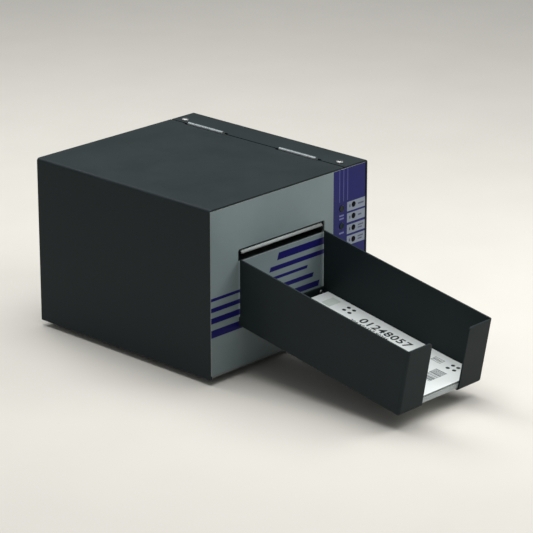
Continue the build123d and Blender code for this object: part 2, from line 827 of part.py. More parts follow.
# Platen and feed rollers: rubber sleeves on steel shafts that turn in flanged bushes
gear_gap = 2.0
gear_face = 5.0
pulley_gap = 1.5
pulley_face = 7.0
shaft_stub = 0.8
gear_x = (plate_right_x + gear_gap, plate_right_x + gear_gap + gear_face)
pulley_x = (gear_x[1] + pulley_gap, gear_x[1] + pulley_gap + pulley_face)
shaft_x = (plate_left_x - shaft_stub, pulley_x[1] + shaft_stub)
with BuildPart() as platen_roller:
    rod_x(around(path_centre_x, platen_length), *platen_at, roller_radius)
    rod_x(frame_x, *platen_at, shaft_radius + press_clearance, Mode.SUBTRACT)
finish(platen_roller, "platen_roller")

with BuildPart() as platen_shaft:
    rod_x(shaft_x, *platen_at, shaft_radius)
finish(platen_shaft, "platen_shaft")

with BuildPart() as feed_roller:
    rod_x(around(path_centre_x, feed_length), *feed_at, roller_radius)
    rod_x(frame_x, *feed_at, shaft_radius + press_clearance, Mode.SUBTRACT)
finish(feed_roller, "feed_roller")

with BuildPart() as feed_shaft:
    rod_x(shaft_x, *feed_at, shaft_radius)
finish(feed_shaft, "feed_shaft")

bush_proud = 0.5
with BuildPart() as shaft_bushes:
    for y, z in (platen_at, feed_at):
        for side, inner_x in ((-1, frame_left_x), (1, frame_right_x)):
            body = sorted((inner_x - side * bush_flange, inner_x + side * (plate_gauge + bush_proud)))
            collar = sorted((inner_x - side * bush_flange, inner_x))
            rod_x(body, y, z, bush_radius)
            rod_x(collar, y, z, bush_flange_radius)
            rod_x(grown(body, overrun), y, z, shaft_radius + shaft_clearance, Mode.SUBTRACT)
finish(shaft_bushes, "shaft_bushes")

# Gear teeth follow the involute of a 20 degree pressure angle, with stub tips
pressure_angle = math.radians(20)
addendum_share = 0.8
dedendum_share = 1.2
backlash = 0.16
flank_steps = 4


def involute(radius, base_radius):
    if radius <= base_radius:
        return 0
    angle = math.acos(base_radius / radius)
    return math.tan(angle) - angle


def tooth_points(teeth, phase):
    pitch_radius = teeth * gear_module / 2
    base_radius = pitch_radius * math.cos(pressure_angle)
    tip_radius = pitch_radius + addendum_share * gear_module
    root_radius = pitch_radius - dedendum_share * gear_module
    half_tooth = math.pi / (2 * teeth) - backlash / (4 * pitch_radius)
    start = max(base_radius, root_radius)
    rise = (tip_radius - start) / flank_steps
    radii = [start + step * rise for step in range(flank_steps + 1)]
    if root_radius < base_radius:
        radii = [root_radius] + radii
    reach = half_tooth + math.tan(pressure_angle) - pressure_angle
    flank = [(radius, reach - involute(radius, base_radius)) for radius in radii]
    points = []
    for tooth in range(teeth):
        middle = math.radians(phase) + 2 * math.pi * tooth / teeth
        sides = [(radius, middle - angle) for radius, angle in flank]
        sides += [(radius, middle + angle) for radius, angle in reversed(flank)]
        points += [(radius * math.cos(angle), radius * math.sin(angle)) for radius, angle in sides]
    return points


def spur_gear(x_span, centre, teeth, phase):
    outline = [(centre[0] + y, centre[1] + z) for y, z in tooth_points(teeth, phase)]
    with BuildSketch(Plane.YZ.offset(x_span[0])) as section:
        with BuildLine():
            Polyline(*outline, close=True)
        make_face()
    extrude(section.sketch, amount=x_span[1] - x_span[0])


# A tooth of the first gear points along the line of centres, and each mate shows a gap there
def mate_phase(direction, driver_teeth, driver_phase, teeth):
    turn = ((direction - driver_phase) * driver_teeth / 360) % 1
    return direction + 180 - (0.5 - turn) * 360 / teeth


idler_phase = mate_phase(idler_direction, platen_teeth, idler_direction, idler_teeth)
pinion_phase = mate_phase(motor_direction, idler_teeth, idler_phase, pinion_teeth)
rim_share = 0.82
hub_share = 0.36
web_depth = 1.4


def gear_recess(x_span, centre, teeth):
    # A shallow ring on the outer face lightens a moulded gear
    pitch_radius = teeth * gear_module / 2
    ring = (x_span[1] - web_depth, x_span[1] + overrun)
    with BuildSketch(Plane.YZ.offset(ring[0])) as section:
        with Locations(centre):
            Circle(pitch_radius * rim_share)
            Circle(pitch_radius * hub_share, mode=Mode.SUBTRACT)
    extrude(section.sketch, amount=ring[1] - ring[0], mode=Mode.SUBTRACT)


with BuildPart() as platen_gear:
    spur_gear(gear_x, platen_at, platen_teeth, idler_direction)
    gear_recess(gear_x, platen_at, platen_teeth)
    rod_x(grown(gear_x, overrun), *platen_at, shaft_radius + press_clearance, Mode.SUBTRACT)
finish(platen_gear, "platen_gear")

with BuildPart() as idler_gear:
    spur_gear(gear_x, idler_at, idler_teeth, idler_phase)
    rod_x(grown(gear_x, overrun), *idler_at, idler_pin_radius + shaft_clearance, Mode.SUBTRACT)
finish(idler_gear, "idler_gear")

pin_head_radius = 3.8
pin_head = 1.0
with BuildPart() as idler_pin:
    rod_x((frame_right_x, gear_x[1] + touch_gap), *idler_at, idler_pin_radius)
    rod_x((gear_x[1] + touch_gap, gear_x[1] + touch_gap + pin_head), *idler_at, pin_head_radius)
finish(idler_pin, "idler_pin")

# Stepper motor on the right plate, with its pinion on the shaft
motor_length = 34.0
motor_corner = 4.5
motor_cap = 8.0
motor_step = 0.6
motor_shaft_radius = 2.5
motor_shaft_depth = 16.0
with BuildPart() as stepper_motor:
    with BuildSketch(Plane.YZ.offset(frame_right_x - motor_length)):
        with Locations(motor_at):
            RectangleRounded(motor_size, motor_size, motor_corner)
    extrude(amount=motor_length)
    with BuildSketch(Plane.YZ.offset(frame_right_x - motor_length + motor_cap)) as band:
        with Locations(motor_at):
            RectangleRounded(motor_size + overrun, motor_size + overrun, motor_corner)
            RectangleRounded(
                motor_size - 2 * motor_step,
                motor_size - 2 * motor_step,
                motor_corner - motor_step,
                mode=Mode.SUBTRACT,
            )
    extrude(amount=motor_length - 2 * motor_cap, mode=Mode.SUBTRACT)
    rod_x((frame_right_x, plate_right_x), *motor_at, motor_boss_radius)
    bore = (frame_right_x - motor_shaft_depth, plate_right_x + overrun)
    rod_x(bore, *motor_at, motor_shaft_radius + shaft_clearance, Mode.SUBTRACT)
    thread_x = (frame_right_x - frame_shank, frame_right_x)
    for y, z in motor_screw_places:
        rod_x(thread_x, y, z, screw_radius + press_clearance, Mode.SUBTRACT)
finish(stepper_motor, "stepper_motor")

with BuildPart() as motor_pinion:
    spur_gear(gear_x, motor_at, pinion_teeth, pinion_phase)
    rod_x((frame_right_x - motor_shaft_depth, gear_x[1] + touch_gap), *motor_at, motor_shaft_radius)
finish(motor_pinion, "motor_pinion")

# A toothless belt takes the platen's turning back to the feed roller
pulley_radius = 8.0
pulley_flange_radius = 9.4
pulley_flange = 0.8
belt_gap = 0.1
belt_gauge = 1.2
belt_x = grown(pulley_x, -pulley_flange - belt_gap)


def belt_pulley(centre):
    rod_x(pulley_x, *centre, pulley_radius)
    rod_x((pulley_x[0], pulley_x[0] + pulley_flange), *centre, pulley_flange_radius)
    rod_x((pulley_x[1] - pulley_flange, pulley_x[1]), *centre, pulley_flange_radius)
    rod_x(grown(pulley_x, overrun), *centre, shaft_radius + press_clearance, Mode.SUBTRACT)


with BuildPart() as platen_pulley:
    belt_pulley(platen_at)
finish(platen_pulley, "platen_pulley")

with BuildPart() as feed_pulley:
    belt_pulley(feed_at)
finish(feed_pulley, "feed_pulley")

with BuildPart() as timing_belt:
    with BuildSketch(Plane.YZ.offset(belt_x[0])):
        with Locations(((platen_y + feed_y) / 2, roller_z)):
            SlotCenterToCenter(feed_y - platen_y, 2 * (pulley_radius + belt_gap + belt_gauge))
            SlotCenterToCenter(feed_y - platen_y, 2 * (pulley_radius + belt_gap), mode=Mode.SUBTRACT)
    extrude(amount=belt_x[1] - belt_x[0])
finish(timing_belt, "timing_belt")

# Print head: a ceramic strip under a finned heat sink, carried by a pivoting bracket
head_room = 3.45
head_width = ticket_width + head_room
strip_gauge = 1.0
strip_depth = 14.0
sink_depth = 22.0
sink_height = 4.2
fin_pitch = 5.5
fin_groove = 2.5
fin_depth = 2.6
strip_z = (path_z + touch_gap, path_z + touch_gap + strip_gauge)
sink_z = (strip_z[1], strip_z[1] + sink_height)
sink_y = around(platen_y, sink_depth)
with BuildPart() as print_head:
    block(around(path_centre_x, head_width), around(platen_y, strip_depth), strip_z)
finish(print_head, "print_head")

with BuildPart() as heat_sink:
    block(around(path_centre_x, head_width), sink_y, sink_z)
    for row in (-1, 0, 1):
        groove_y = around(platen_y + row * fin_pitch, fin_groove)
        block(
            grown(around(path_centre_x, head_width), overrun),
            groove_y,
            (sink_z[1] - fin_depth, sink_z[1] + overrun),
            Mode.SUBTRACT,
        )
finish(heat_sink, "heat_sink")

bracket_gauge = 1.2
bracket_side_gap = 0.6
bracket_lug_radius = 4.2
bracket_rim = 2.2
bracket_x = grown(frame_x, -bracket_side_gap)
bracket_z = (sink_z[1], sink_z[1] + bracket_gauge)
bracket_tail = 5.0
bracket_y = (sink_y[0], sink_y[1] + bracket_tail)
with BuildPart() as head_bracket:
    block(bracket_x, bracket_y, bracket_z)
    for start in (bracket_x[0], bracket_x[1] - bracket_gauge):
        with BuildSketch(Plane.YZ.offset(start)) as lug:
            with Locations(head_pivot_at):
                Circle(bracket_lug_radius)
            with Locations((sum(bracket_y) / 2, bracket_z[0] + bracket_rim / 2)):
                Rectangle(bracket_y[1] - bracket_y[0], bracket_rim)
            make_hull()
        extrude(amount=bracket_gauge)
    rod_x(grown(bracket_x, overrun), *head_pivot_at, pivot_radius + shaft_clearance, Mode.SUBTRACT)
finish(head_bracket, "head_bracket")

pivot_pin_proud = 0.8
with BuildPart() as head_pivot_pin:
    rod_x((plate_left_x - pivot_pin_proud, plate_right_x + pivot_pin_proud), *head_pivot_at, pivot_radius)
finish(head_pivot_pin, "head_pivot_pin")

# Two arched leaf springs on the bracket, pressed by cams on a cross shaft
cam_offset = 25.0
cam_width = 8.0
leaf_spring_gauge = 0.6
leaf_half = 10.0
leaf_crown = 3.1
cam_gap = 0.5
cam_base_radius = 3.6
cam_lobe_radius = 2.5
leaf_top_z = bracket_z[1] + leaf_crown + leaf_spring_gauge
cam_reach = cam_at[1] - leaf_top_z - cam_gap
with BuildPart() as head_springs:
    for side in (-1, 1):
        spring_x = around(path_centre_x + side * cam_offset, cam_width + 2 * cam_gap)
        with BuildSketch(Plane.YZ.offset(spring_x[0])):
            with BuildLine():
                ThreePointArc(
                    (cam_at[0] - leaf_half, bracket_z[1]),
                    (cam_at[0], bracket_z[1] + leaf_crown),
                    (cam_at[0] + leaf_half, bracket_z[1]),
                )
                offset(amount=leaf_spring_gauge, side=Side.LEFT)
            make_face()
        extrude(amount=spring_x[1] - spring_x[0])
finish(head_springs, "head_springs")

lever_gap = 1.6
lever_width = 5.0
lever_x = (plate_right_x + lever_gap, plate_right_x + lever_gap + lever_width)
lever_length = 18.0
lever_hub_radius = 5.0
lever_tip_radius = 2.4
with BuildPart() as cam_shaft:
    rod_x((plate_left_x - pivot_pin_proud, lever_x[1] + touch_gap), *cam_at, shaft_radius)
    for side in (-1, 1):
        cam_x = around(path_centre_x + side * cam_offset, cam_width)
        with BuildSketch(Plane.YZ.offset(cam_x[0])) as cam:
            with Locations(cam_at):
                Circle(cam_base_radius)
            with Locations((cam_at[0], cam_at[1] - cam_reach + cam_lobe_radius)):
                Circle(cam_lobe_radius)
            make_hull()
        extrude(amount=cam_width)
finish(cam_shaft, "cam_shaft")

with BuildPart() as head_lever:
    with BuildSketch(Plane.YZ.offset(lever_x[0])) as lever:
        with Locations(cam_at):
            Circle(lever_hub_radius)
        with Locations((cam_at[0] + lever_length - lever_tip_radius, cam_at[1])):
            Circle(lever_tip_radius)
        make_hull()
    extrude(amount=lever_x[1] - lever_x[0])
    rod_x(grown(lever_x, overrun), *cam_at, shaft_radius + press_clearance, Mode.SUBTRACT)
finish(head_lever, "head_lever")

# Rotary cutter: a frame across the path, a fixed blade below and a turning blade above
cheek = 3.0
cutter_base_gauge = 2.4
cutter_base_drop = 0.2
cutter_setback = 1.5
cutter_bed_gap = 0.5
cutter_rise = 13.0
cutter_base_z = (slot_z - cutter_base_drop - cutter_base_gauge, slot_z - cutter_base_drop)
cutter_y = (frame_front_y + cutter_setback, bed_y[0] - cutter_bed_gap)
cutter_top_z = path_z + cutter_rise
cutter_beam = 6.0
blade_sweep = 6.2
blade_gauge = 2.0
rotor_radius = 4.0
cutter_x = grown(frame_x, -cheek)
with BuildPart() as cutter_frame:
    block(frame_x, cutter_y, (cutter_base_z[0], cutter_top_z))
    block(cutter_x, grown(cutter_y, overrun), (cutter_base_z[1], bar_flange_top_z), Mode.SUBTRACT)
    rotor_bay = (cutter_y[0] + cutter_beam, cutter_y[1] + overrun)
    block(cutter_x, rotor_bay, (cutter_base_z[1], cutter_top_z + overrun), Mode.SUBTRACT)
    block(
        around(path_centre_x, slot_width - touch_gap),
        (inner_front_y + touch_gap, cutter_y[0]),
        cutter_base_z,
    )
    rod_x(grown(frame_x, overrun), *rotor_at, journal_radius + shaft_clearance, Mode.SUBTRACT)
finish(cutter_frame, "cutter_frame")

with BuildPart() as fixed_blade:
    block(cutter_x, (rotor_at[0], cutter_y[1]), (cutter_base_z[1], bed_top_z))
finish(fixed_blade, "fixed_blade")

cutter_gear_gap = 1.9
cutter_gear_face = 4.0
cutter_gear_x = (plate_left_x - cutter_gear_gap - cutter_gear_face, plate_left_x - cutter_gear_gap)
with BuildPart() as cutter_rotor:
    rod_x(grown(cutter_x, -cam_gap), *rotor_at, rotor_radius)
    block(
        grown(cutter_x, -cam_gap),
        around(rotor_at[0], blade_gauge),
        (rotor_at[1], rotor_at[1] + blade_sweep),
    )
    rod_x((cutter_gear_x[0] - cam_gap, plate_right_x), *rotor_at, journal_radius)
finish(cutter_rotor, "cutter_rotor")

cutter_pinion_phase = mate_phase(cutter_direction, cutter_teeth, cutter_direction, cutter_pinion_teeth)
with BuildPart() as cutter_gear:
    spur_gear(cutter_gear_x, rotor_at, cutter_teeth, cutter_direction)
    rod_x(grown(cutter_gear_x, overrun), *rotor_at, journal_radius + press_clearance, Mode.SUBTRACT)
finish(cutter_gear, "cutter_gear")

cutter_motor_radius = 10.0
cutter_motor_length = 38.0
cutter_shaft_radius = 1.5
cutter_shaft_depth = 12.0
with BuildPart() as cutter_motor:
    rod_x((frame_left_x, frame_left_x + cutter_motor_length), *cutter_motor_at, cutter_motor_radius)
    rod_x((plate_left_x, frame_left_x), *cutter_motor_at, cutter_boss_radius)
    bore = (plate_left_x - overrun, frame_left_x + cutter_shaft_depth)
    rod_x(bore, *cutter_motor_at, cutter_shaft_radius + shaft_clearance, Mode.SUBTRACT)
finish(cutter_motor, "cutter_motor")

with BuildPart() as cutter_pinion:
    spur_gear(cutter_gear_x, cutter_motor_at, cutter_pinion_teeth, cutter_pinion_phase)
    rod_x((cutter_gear_x[0], frame_left_x + cutter_shaft_depth), *cutter_motor_at, cutter_shaft_radius)
finish(cutter_pinion, "cutter_pinion")

# Main board flat on the base, with its sockets at the rear wall
board_side_gap = 5.0
board_front_gap = 14.8
board_rear_gap = 4.5
board_x = grown((frame_left_x, frame_right_x), -board_side_gap)
board_y = (inner_front_y + board_front_gap, inner_rear_y - board_rear_gap)
standoff_radius = 3.0
board_inset = 4.5
standoff_rows = grown(board_y, -board_inset - jack_size[1])
standoff_places = [(x, y) for x in grown(board_x, -board_inset) for y in standoff_rows]
with BuildPart() as main_board:
    block(board_x, board_y, (board_z, board_top_z))
finish(main_board, "main_board")

with BuildPart() as board_standoffs:
    for x, y in standoff_places:
        rod_z((floor_z, board_z), x, y, standoff_radius)
    for x, z in stud_places:
        rod_y((inner_front_y, panel_board_y[0]), x, z, stud_radius)
finish(board_standoffs, "board_standoffs")

# Chips, capacitors and plugs on the main board; switches and lamps on the panel board
chip_size = (15.0, 15.0, 2.0)
chip_place_shares = [(0.3, 0.35), (0.68, 0.5), (0.35, 0.62)]
plug_size = (18.0, 6.0, 7.0)
plug_place_shares = [(0.25, 0.12), (0.7, 0.12), (0.8, 0.3)]
capacitor_radius = 4.0
capacitor_height = 11.0
capacitor_place_shares = [(0.25, 0.8), (0.4, 0.8), (0.8, 0.72)]
tact_size = 6.0
tact_height = 2.2
tact_plunger = 0.3
lamp_radius = 1.5
lamp_height = 2.9


def on_board(shares):
    return (
        board_x[0] + shares[0] * (board_x[1] - board_x[0]),
        board_y[0] + shares[1] * (board_y[1] - board_y[0]),
    )


with BuildPart() as board_components:
    for size, places in ((chip_size, chip_place_shares), (plug_size, plug_place_shares)):
        for shares in places:
            x, y = on_board(shares)
            block(around(x, size[0]), around(y, size[1]), (board_top_z, board_top_z + size[2]))
    for shares in capacitor_place_shares:
        rod_z((board_top_z, board_top_z + capacitor_height), *on_board(shares), capacitor_radius)
    tact_y = (panel_board_y[0] - tact_height, panel_board_y[0])
    for z in button_heights:
        block(around(button_x, tact_size), tact_y, around(z, tact_size))
        rod_y((tact_y[0] - tact_plunger, tact_y[0]), button_x, z, lamp_radius)
    for z in lens_heights:
        rod_y((panel_board_y[0] - lamp_height, panel_board_y[0]), lens_x, z, lamp_radius)
finish(board_components, "board_components")

# Power inlet: a square body on the board with a round collar through the wall
jack_collar_proud = 0.5
jack_bore_radius = 2.75
jack_bore_depth = 9.0
jack_pin_radius = 1.0
jack_pin_inset = 2.2
with BuildPart() as dc_jack:
    jack_face_y = rear_y + jack_collar_proud
    block(
        around(jack_x, jack_size[0]),
        (inner_rear_y - jack_size[1], inner_rear_y),
        (board_top_z, board_top_z + jack_size[2]),
    )
    rod_y((inner_rear_y, jack_face_y), jack_x, jack_z, jack_collar_radius)
    jack_bore_y = (jack_face_y - jack_bore_depth, jack_face_y + overrun)
    rod_y(jack_bore_y, jack_x, jack_z, jack_bore_radius, Mode.SUBTRACT)
    jack_pin_y = (jack_face_y - jack_bore_depth - jack_collar_proud, jack_face_y - jack_pin_inset)
    rod_y(jack_pin_y, jack_x, jack_z, jack_pin_radius)
finish(dc_jack, "dc_jack")

# Data port: a metal shell through the wall round a drilled insert, on a body on the board
port_body = (30.8, 10.0, 12.5)
port_shell_proud = 5.0
port_shell_wall = 0.8
port_insert_inset = 0.6
pin_hole_radius = 0.55
pin_pitch = 2.75
pin_hole_depth = 4.0
with BuildPart() as data_port:
    block(
        around(port_x, port_body[0]),
        (inner_rear_y - port_body[1], inner_rear_y),
        (board_top_z, board_top_z + port_body[2]),
    )
    shell_y = (inner_rear_y, rear_y + port_shell_proud)
    block(around(port_x, port_shell[0]), shell_y, around(port_z, port_shell[1]))
    hollow_x = around(port_x, port_shell[0] - 2 * port_shell_wall)
    hollow_z = around(port_z, port_shell[1] - 2 * port_shell_wall)
    block(hollow_x, (shell_y[1] - port_insert_inset, shell_y[1] + overrun), hollow_z, Mode.SUBTRACT)
    for row, count in ((1, 5), (-1, 4)):
        for index in range(count):
            pin_at = (port_x + (index - (count - 1) / 2) * pin_pitch, port_z + row * pin_pitch / 2)
            rod_y((shell_y[1] - pin_hole_depth, shell_y[1]), *pin_at, pin_hole_radius, Mode.SUBTRACT)
finish(data_port, "data_port")

# Rocker switch in the rear wall: a frame outside, a box inside and a tilting rocker
switch_frame = 1.5
switch_lip = 1.3
rocker_tilt = 6.0
rocker_wall = 1.4
rocker_crown = 3.0
rocker_dip = 1.4
rocker_root = 3.0
rocker_x = around(switch_x, switch_body[0] - 2 * (rocker_wall + touch_gap))
rocker_half = switch_body[2] / 2 - rocker_wall - touch_gap
rocker_at = (rear_y + switch_frame / 3, switch_z)
with BuildPart() as power_switch_body:
    switch_y = (inner_rear_y - switch_body[1], rear_y)
    block(around(switch_x, switch_body[0]), switch_y, around(switch_z, switch_body[2]))
    block(
        grown(around(switch_x, switch_body[0]), switch_lip),
        (rear_y, rear_y + switch_frame),
        grown(around(switch_z, switch_body[2]), switch_lip),
    )
    block(
        grown(rocker_x, touch_gap),
        (rocker_at[0] - rocker_half, rear_y + switch_frame + overrun),
        around(switch_z, 2 * (rocker_half + touch_gap)),
        Mode.SUBTRACT,
    )
finish(power_switch_body, "power_switch_body")

rocker_plane = Plane(Location((rocker_x[0], *rocker_at), (rocker_tilt, 0, 0)))
with BuildPart() as power_rocker:
    with BuildSketch(Plane(rocker_plane.origin, x_dir=rocker_plane.y_dir, z_dir=rocker_plane.x_dir)):
        with BuildLine():
            Polyline(
                (rocker_crown, rocker_half - touch_gap),
                (rocker_dip, 0),
                (rocker_crown, touch_gap - rocker_half),
                (-rocker_root, rocker_root - rocker_half),
                (-rocker_root, rocker_half - rocker_root),
                close=True,
            )
        make_face()
    extrude(amount=rocker_x[1] - rocker_x[0])
finish(power_rocker, "power_rocker")
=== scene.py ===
import math
import random

import bmesh
import bpy
from mathutils import Matrix, Vector


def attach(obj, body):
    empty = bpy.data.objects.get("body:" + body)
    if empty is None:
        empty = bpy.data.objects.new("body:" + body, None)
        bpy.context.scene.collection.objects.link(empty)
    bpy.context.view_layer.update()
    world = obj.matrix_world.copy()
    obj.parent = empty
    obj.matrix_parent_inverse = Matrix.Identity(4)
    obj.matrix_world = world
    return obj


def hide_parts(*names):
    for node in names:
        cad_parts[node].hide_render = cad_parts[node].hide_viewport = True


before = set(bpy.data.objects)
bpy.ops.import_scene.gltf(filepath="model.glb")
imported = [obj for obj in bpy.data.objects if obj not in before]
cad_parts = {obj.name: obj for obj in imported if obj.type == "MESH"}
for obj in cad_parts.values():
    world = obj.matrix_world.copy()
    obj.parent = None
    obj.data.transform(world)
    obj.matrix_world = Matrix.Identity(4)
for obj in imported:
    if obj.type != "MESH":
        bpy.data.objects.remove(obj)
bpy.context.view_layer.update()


# Rubber feet: four tapered pads of black rubber, moulded in one piece.
# Each one is pulled up against the base by the screw that also clamps the sheets there.
def tone(red, green, blue):
    """A colour as the eye reads it, 0 to 255, turned into the light values that a shader takes."""
    shares = (red / 255, green / 255, blue / 255)
    return tuple(s / 12.92 if s <= 0.04045 else ((s + 0.055) / 1.055) ** 2.4 for s in shares) + (1.0,)


def add_node(tree, kind, inputs=None, **properties):
    """A shader node whose inputs are linked where a socket is given, and set where a value is."""
    node = tree.nodes.new("ShaderNode" + kind)
    for key, value in properties.items():
        setattr(node, key, value)
    for key, value in (inputs or {}).items():
        if isinstance(value, bpy.types.NodeSocket):
            tree.links.new(value, node.inputs[key])
        else:
            node.inputs[key].default_value = value
    return node


def blended(tree, factor, first, second):
    """The colour between two others, by a factor from 0 to 1."""
    return add_node(tree, "Mix", {0: factor, 6: first, 7: second}, data_type="RGBA").outputs[2]


def ranged(tree, value, low, high, to_low, to_high):
    """A value moved from one span to another, and held at its ends."""
    names = ("Value", "From Min", "From Max", "To Min", "To Max")
    return add_node(tree, "MapRange", dict(zip(names, (value, low, high, to_low, to_high)))).outputs[0]


def worked(tree, rule, *values, kind="Math"):
    """What a rule of arithmetic makes of some values."""
    return add_node(tree, kind, dict(enumerate(values)), operation=rule).outputs[0]


def opened(material):
    """A material's node tree, and the socket that gives a point's place on its object."""
    tree = material.node_tree
    return tree, add_node(tree, "TexCoord").outputs["Object"]


def grained(name, dark, light, cloud, grain, depth, rough, metallic=0.0, stretch=(1, 1, 1), shine=0.5):
    """A finish that drifts between two tones over patches of cloud mm, with a surface grain of grain mm.

    The grain stands depth mm proud, is drawn out along the axes where stretch is below 1, and roughness
    runs over the pair in rough as the tones do.
    """
    noise_low, noise_high, fine_share = 0.48, 0.87, 0.35
    material = bpy.data.materials.new(name)
    material.use_nodes = True
    tree, at = opened(material)
    shader = tree.nodes["Principled BSDF"]
    shader.inputs["Metallic"].default_value = metallic
    shader.inputs["Specular IOR Level"].default_value = shine
    lie = add_node(tree, "Mapping", {"Vector": at, "Scale": stretch}).outputs[0]
    patches = add_node(tree, "TexNoise", {"Vector": at, "Scale": 1000 / cloud, "Detail": 5.0}).outputs[0]
    fine = add_node(tree, "TexNoise", {"Vector": lie, "Scale": 1000 / grain, "Detail": 3.0}).outputs[0]
    drift = worked(tree, "MULTIPLY_ADD", fine, fine_share, patches)
    shift = ranged(tree, drift, noise_low, noise_high, 0.0, 1.0)
    tree.links.new(blended(tree, shift, dark, light), shader.inputs["Base Color"])
    roughness = ranged(tree, drift, noise_low + 0.02, noise_high - 0.02, *rough)
    tree.links.new(roughness, shader.inputs["Roughness"])
    bump = add_node(tree, "Bump", {"Height": fine, "Strength": 0.6, "Distance": depth / 1000})
    tree.links.new(bump.outputs[0], shader.inputs["Normal"])
    return material


def dress(material, *names):
    """Gives a finish to whole nodes, in every material slot that they have."""
    for name in names:
        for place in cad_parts[name].material_slots:
            place.material = material


foot_rubber = grained("foot_rubber", tone(24, 24, 25), tone(40, 40, 40), 9, 0.35, 0.03, (0.95, 0.75))
dress(foot_rubber, "rubber_feet")


# Chassis: front panel, base and rear wall folded from one steel sheet, with flanges along the top.
# It is powder coated in satin grey before anything is fixed to it; its edges are lighter for thinned paint
# and a painted highlight.
def overlaid(material, factor, colour):
    """Lays a colour over a finish's own, by a factor from 0 to 1."""
    tree = material.node_tree
    base = tree.nodes["Principled BSDF"].inputs["Base Color"]
    tree.links.new(blended(tree, factor, base.links[0].from_socket, colour), base)


def worn_and_highlit_edges(material, low, high, worn_lit_tone, reach, strength=0.8):
    """Lightens a box from low to high within reach mm of its edges: partly thin, rubbed coat, partly a
    painted highlight.
    """
    tree, at = opened(material)
    reach = reach / 1000
    middle = [(a + b) / 2000 for a, b in zip(low, high)]
    half = [(b - a) / 2000 for a, b in zip(low, high)]
    off = worked(tree, "SUBTRACT", at, middle, kind="VectorMath")
    off = worked(tree, "ABSOLUTE", off, kind="VectorMath")
    inward = worked(tree, "SUBTRACT", half, off, kind="VectorMath")
    x, y, z = add_node(tree, "SeparateXYZ", {0: inward}).outputs
    # The middle one of the three distances to the faces is the distance to the nearest edge.
    capped = worked(tree, "MINIMUM", worked(tree, "MAXIMUM", x, y), z)
    nearest = worked(tree, "MAXIMUM", worked(tree, "MINIMUM", x, y), capped)
    rag = add_node(tree, "TexNoise", {"Vector": at, "Scale": 420.0, "Detail": 4.0}).outputs[0]
    ragged = worked(tree, "ADD", nearest, ranged(tree, rag, 0.35, 0.7, -reach, reach))
    overlaid(material, ranged(tree, ragged, 0.0, reach, strength, 0.0), worn_lit_tone)


chassis_paint = grained(
    "chassis_paint", tone(113, 121, 122), tone(120, 128, 129), 24, 0.6, 0.03, (0.42, 0.55)
)
chassis_low, chassis_high = (-77.8, -85.8, 4), (76.8, 85.8, 124.5)
# Lighter edges: partly thinned, rubbed paint, partly a painted highlight along them.
worn_and_highlit_edges(chassis_paint, chassis_low, chassis_high, tone(165, 170, 168), 0.5)
dress(chassis_paint, "chassis")


# Base screws: zinc-plated pan heads with a cross recess, driven up from below.
# Seven clamp the mechanism frame and the side cover's flange, and four pass through the feet.
def turned(form, profile, centre, axis, steps=36, material=0):
    """Adds a lathe-turned form, its profile given as (radius, distance along the axis) pairs."""
    earlier = set(form.faces)
    axis = Vector(axis).normalized()
    out = axis.orthogonal().normalized()
    points = [form.verts.new(Vector(centre) + out * r + axis * h) for r, h in profile]
    edges = [form.edges.new(pair) for pair in zip(points, points[1:])]
    bmesh.ops.spin(
        form, geom=points + edges, cent=centre, axis=axis, dvec=(0, 0, 0), angle=math.tau, steps=steps,
        use_merge=True,
    )
    for face in set(form.faces) - earlier:
        face.material_index = material


def closed_up(form):
    """Joins the points that coincide and turns all faces outward."""
    bmesh.ops.remove_doubles(form, verts=form.verts, dist=0.0005)
    bmesh.ops.recalc_face_normals(form, faces=form.faces)


def slab(form, low, high, ease=0.0, segments=2, material=0):
    """Adds a rectangular block between two corners, with its edges eased."""
    made = bmesh.ops.create_cube(form, size=1)["verts"]
    size = [b - a for a, b in zip(low, high)]
    bmesh.ops.scale(form, vec=size, verts=made)
    bmesh.ops.translate(form, vec=[(a + b) / 2 for a, b in zip(low, high)], verts=made)
    faces = {face for vert in made for face in vert.link_faces}
    if ease:
        edges = list({edge for vert in made for edge in vert.link_edges})
        made = bmesh.ops.bevel(
            form, geom=edges, offset=ease, affect="EDGES", segments=segments, profile=0.5, material=-1
        )["faces"]
        faces = {face for face in faces if face.is_valid} | set(made)
    for face in faces:
        face.material_index = material
    return list({vert for face in faces for vert in face.verts})


def meshed(form, name):
    """A new mesh with the faces of a form, which is used up."""
    mesh = bpy.data.meshes.new(name)
    form.to_mesh(mesh)
    form.free()
    return mesh


def added(name, data):
    """A new object of the scene that shows a mesh, a text, a lamp or a camera."""
    made = bpy.data.objects.new(name, data)
    bpy.context.scene.collection.objects.link(made)
    return made


def frozen(source):
    """The mesh that an object comes to, its modifiers and text worked out; the object is used up."""
    mesh = bpy.data.meshes.new_from_object(source.evaluated_get(bpy.context.evaluated_depsgraph_get()))
    bpy.data.objects.remove(source)
    return mesh


def join_mesh(form, mesh, matrix):
    """Adds a mesh to a form, placed by a matrix."""
    before = len(form.verts)
    form.from_mesh(mesh)
    form.verts.ensure_lookup_table()
    bmesh.ops.transform(form, matrix=matrix, verts=form.verts[before:])


def as_piece(form, name, materials, body, replaces=()):
    """Turns a form built in millimetres into a piece in metres that rides on a body."""
    sharpest_smooth_turn = math.radians(35)
    bmesh.ops.scale(form, vec=(0.001, 0.001, 0.001), verts=form.verts)
    mesh = meshed(form, name)
    if "custom_normal" in mesh.attributes:
        mesh.attributes.remove(mesh.attributes["custom_normal"])
    for material in materials:
        mesh.materials.append(material)
    mesh.shade_smooth()
    mesh.set_sharp_from_angle(angle=sharpest_smooth_turn)
    piece = added(name, mesh)
    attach(piece, body)
    if replaces:
        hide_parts(*replaces)


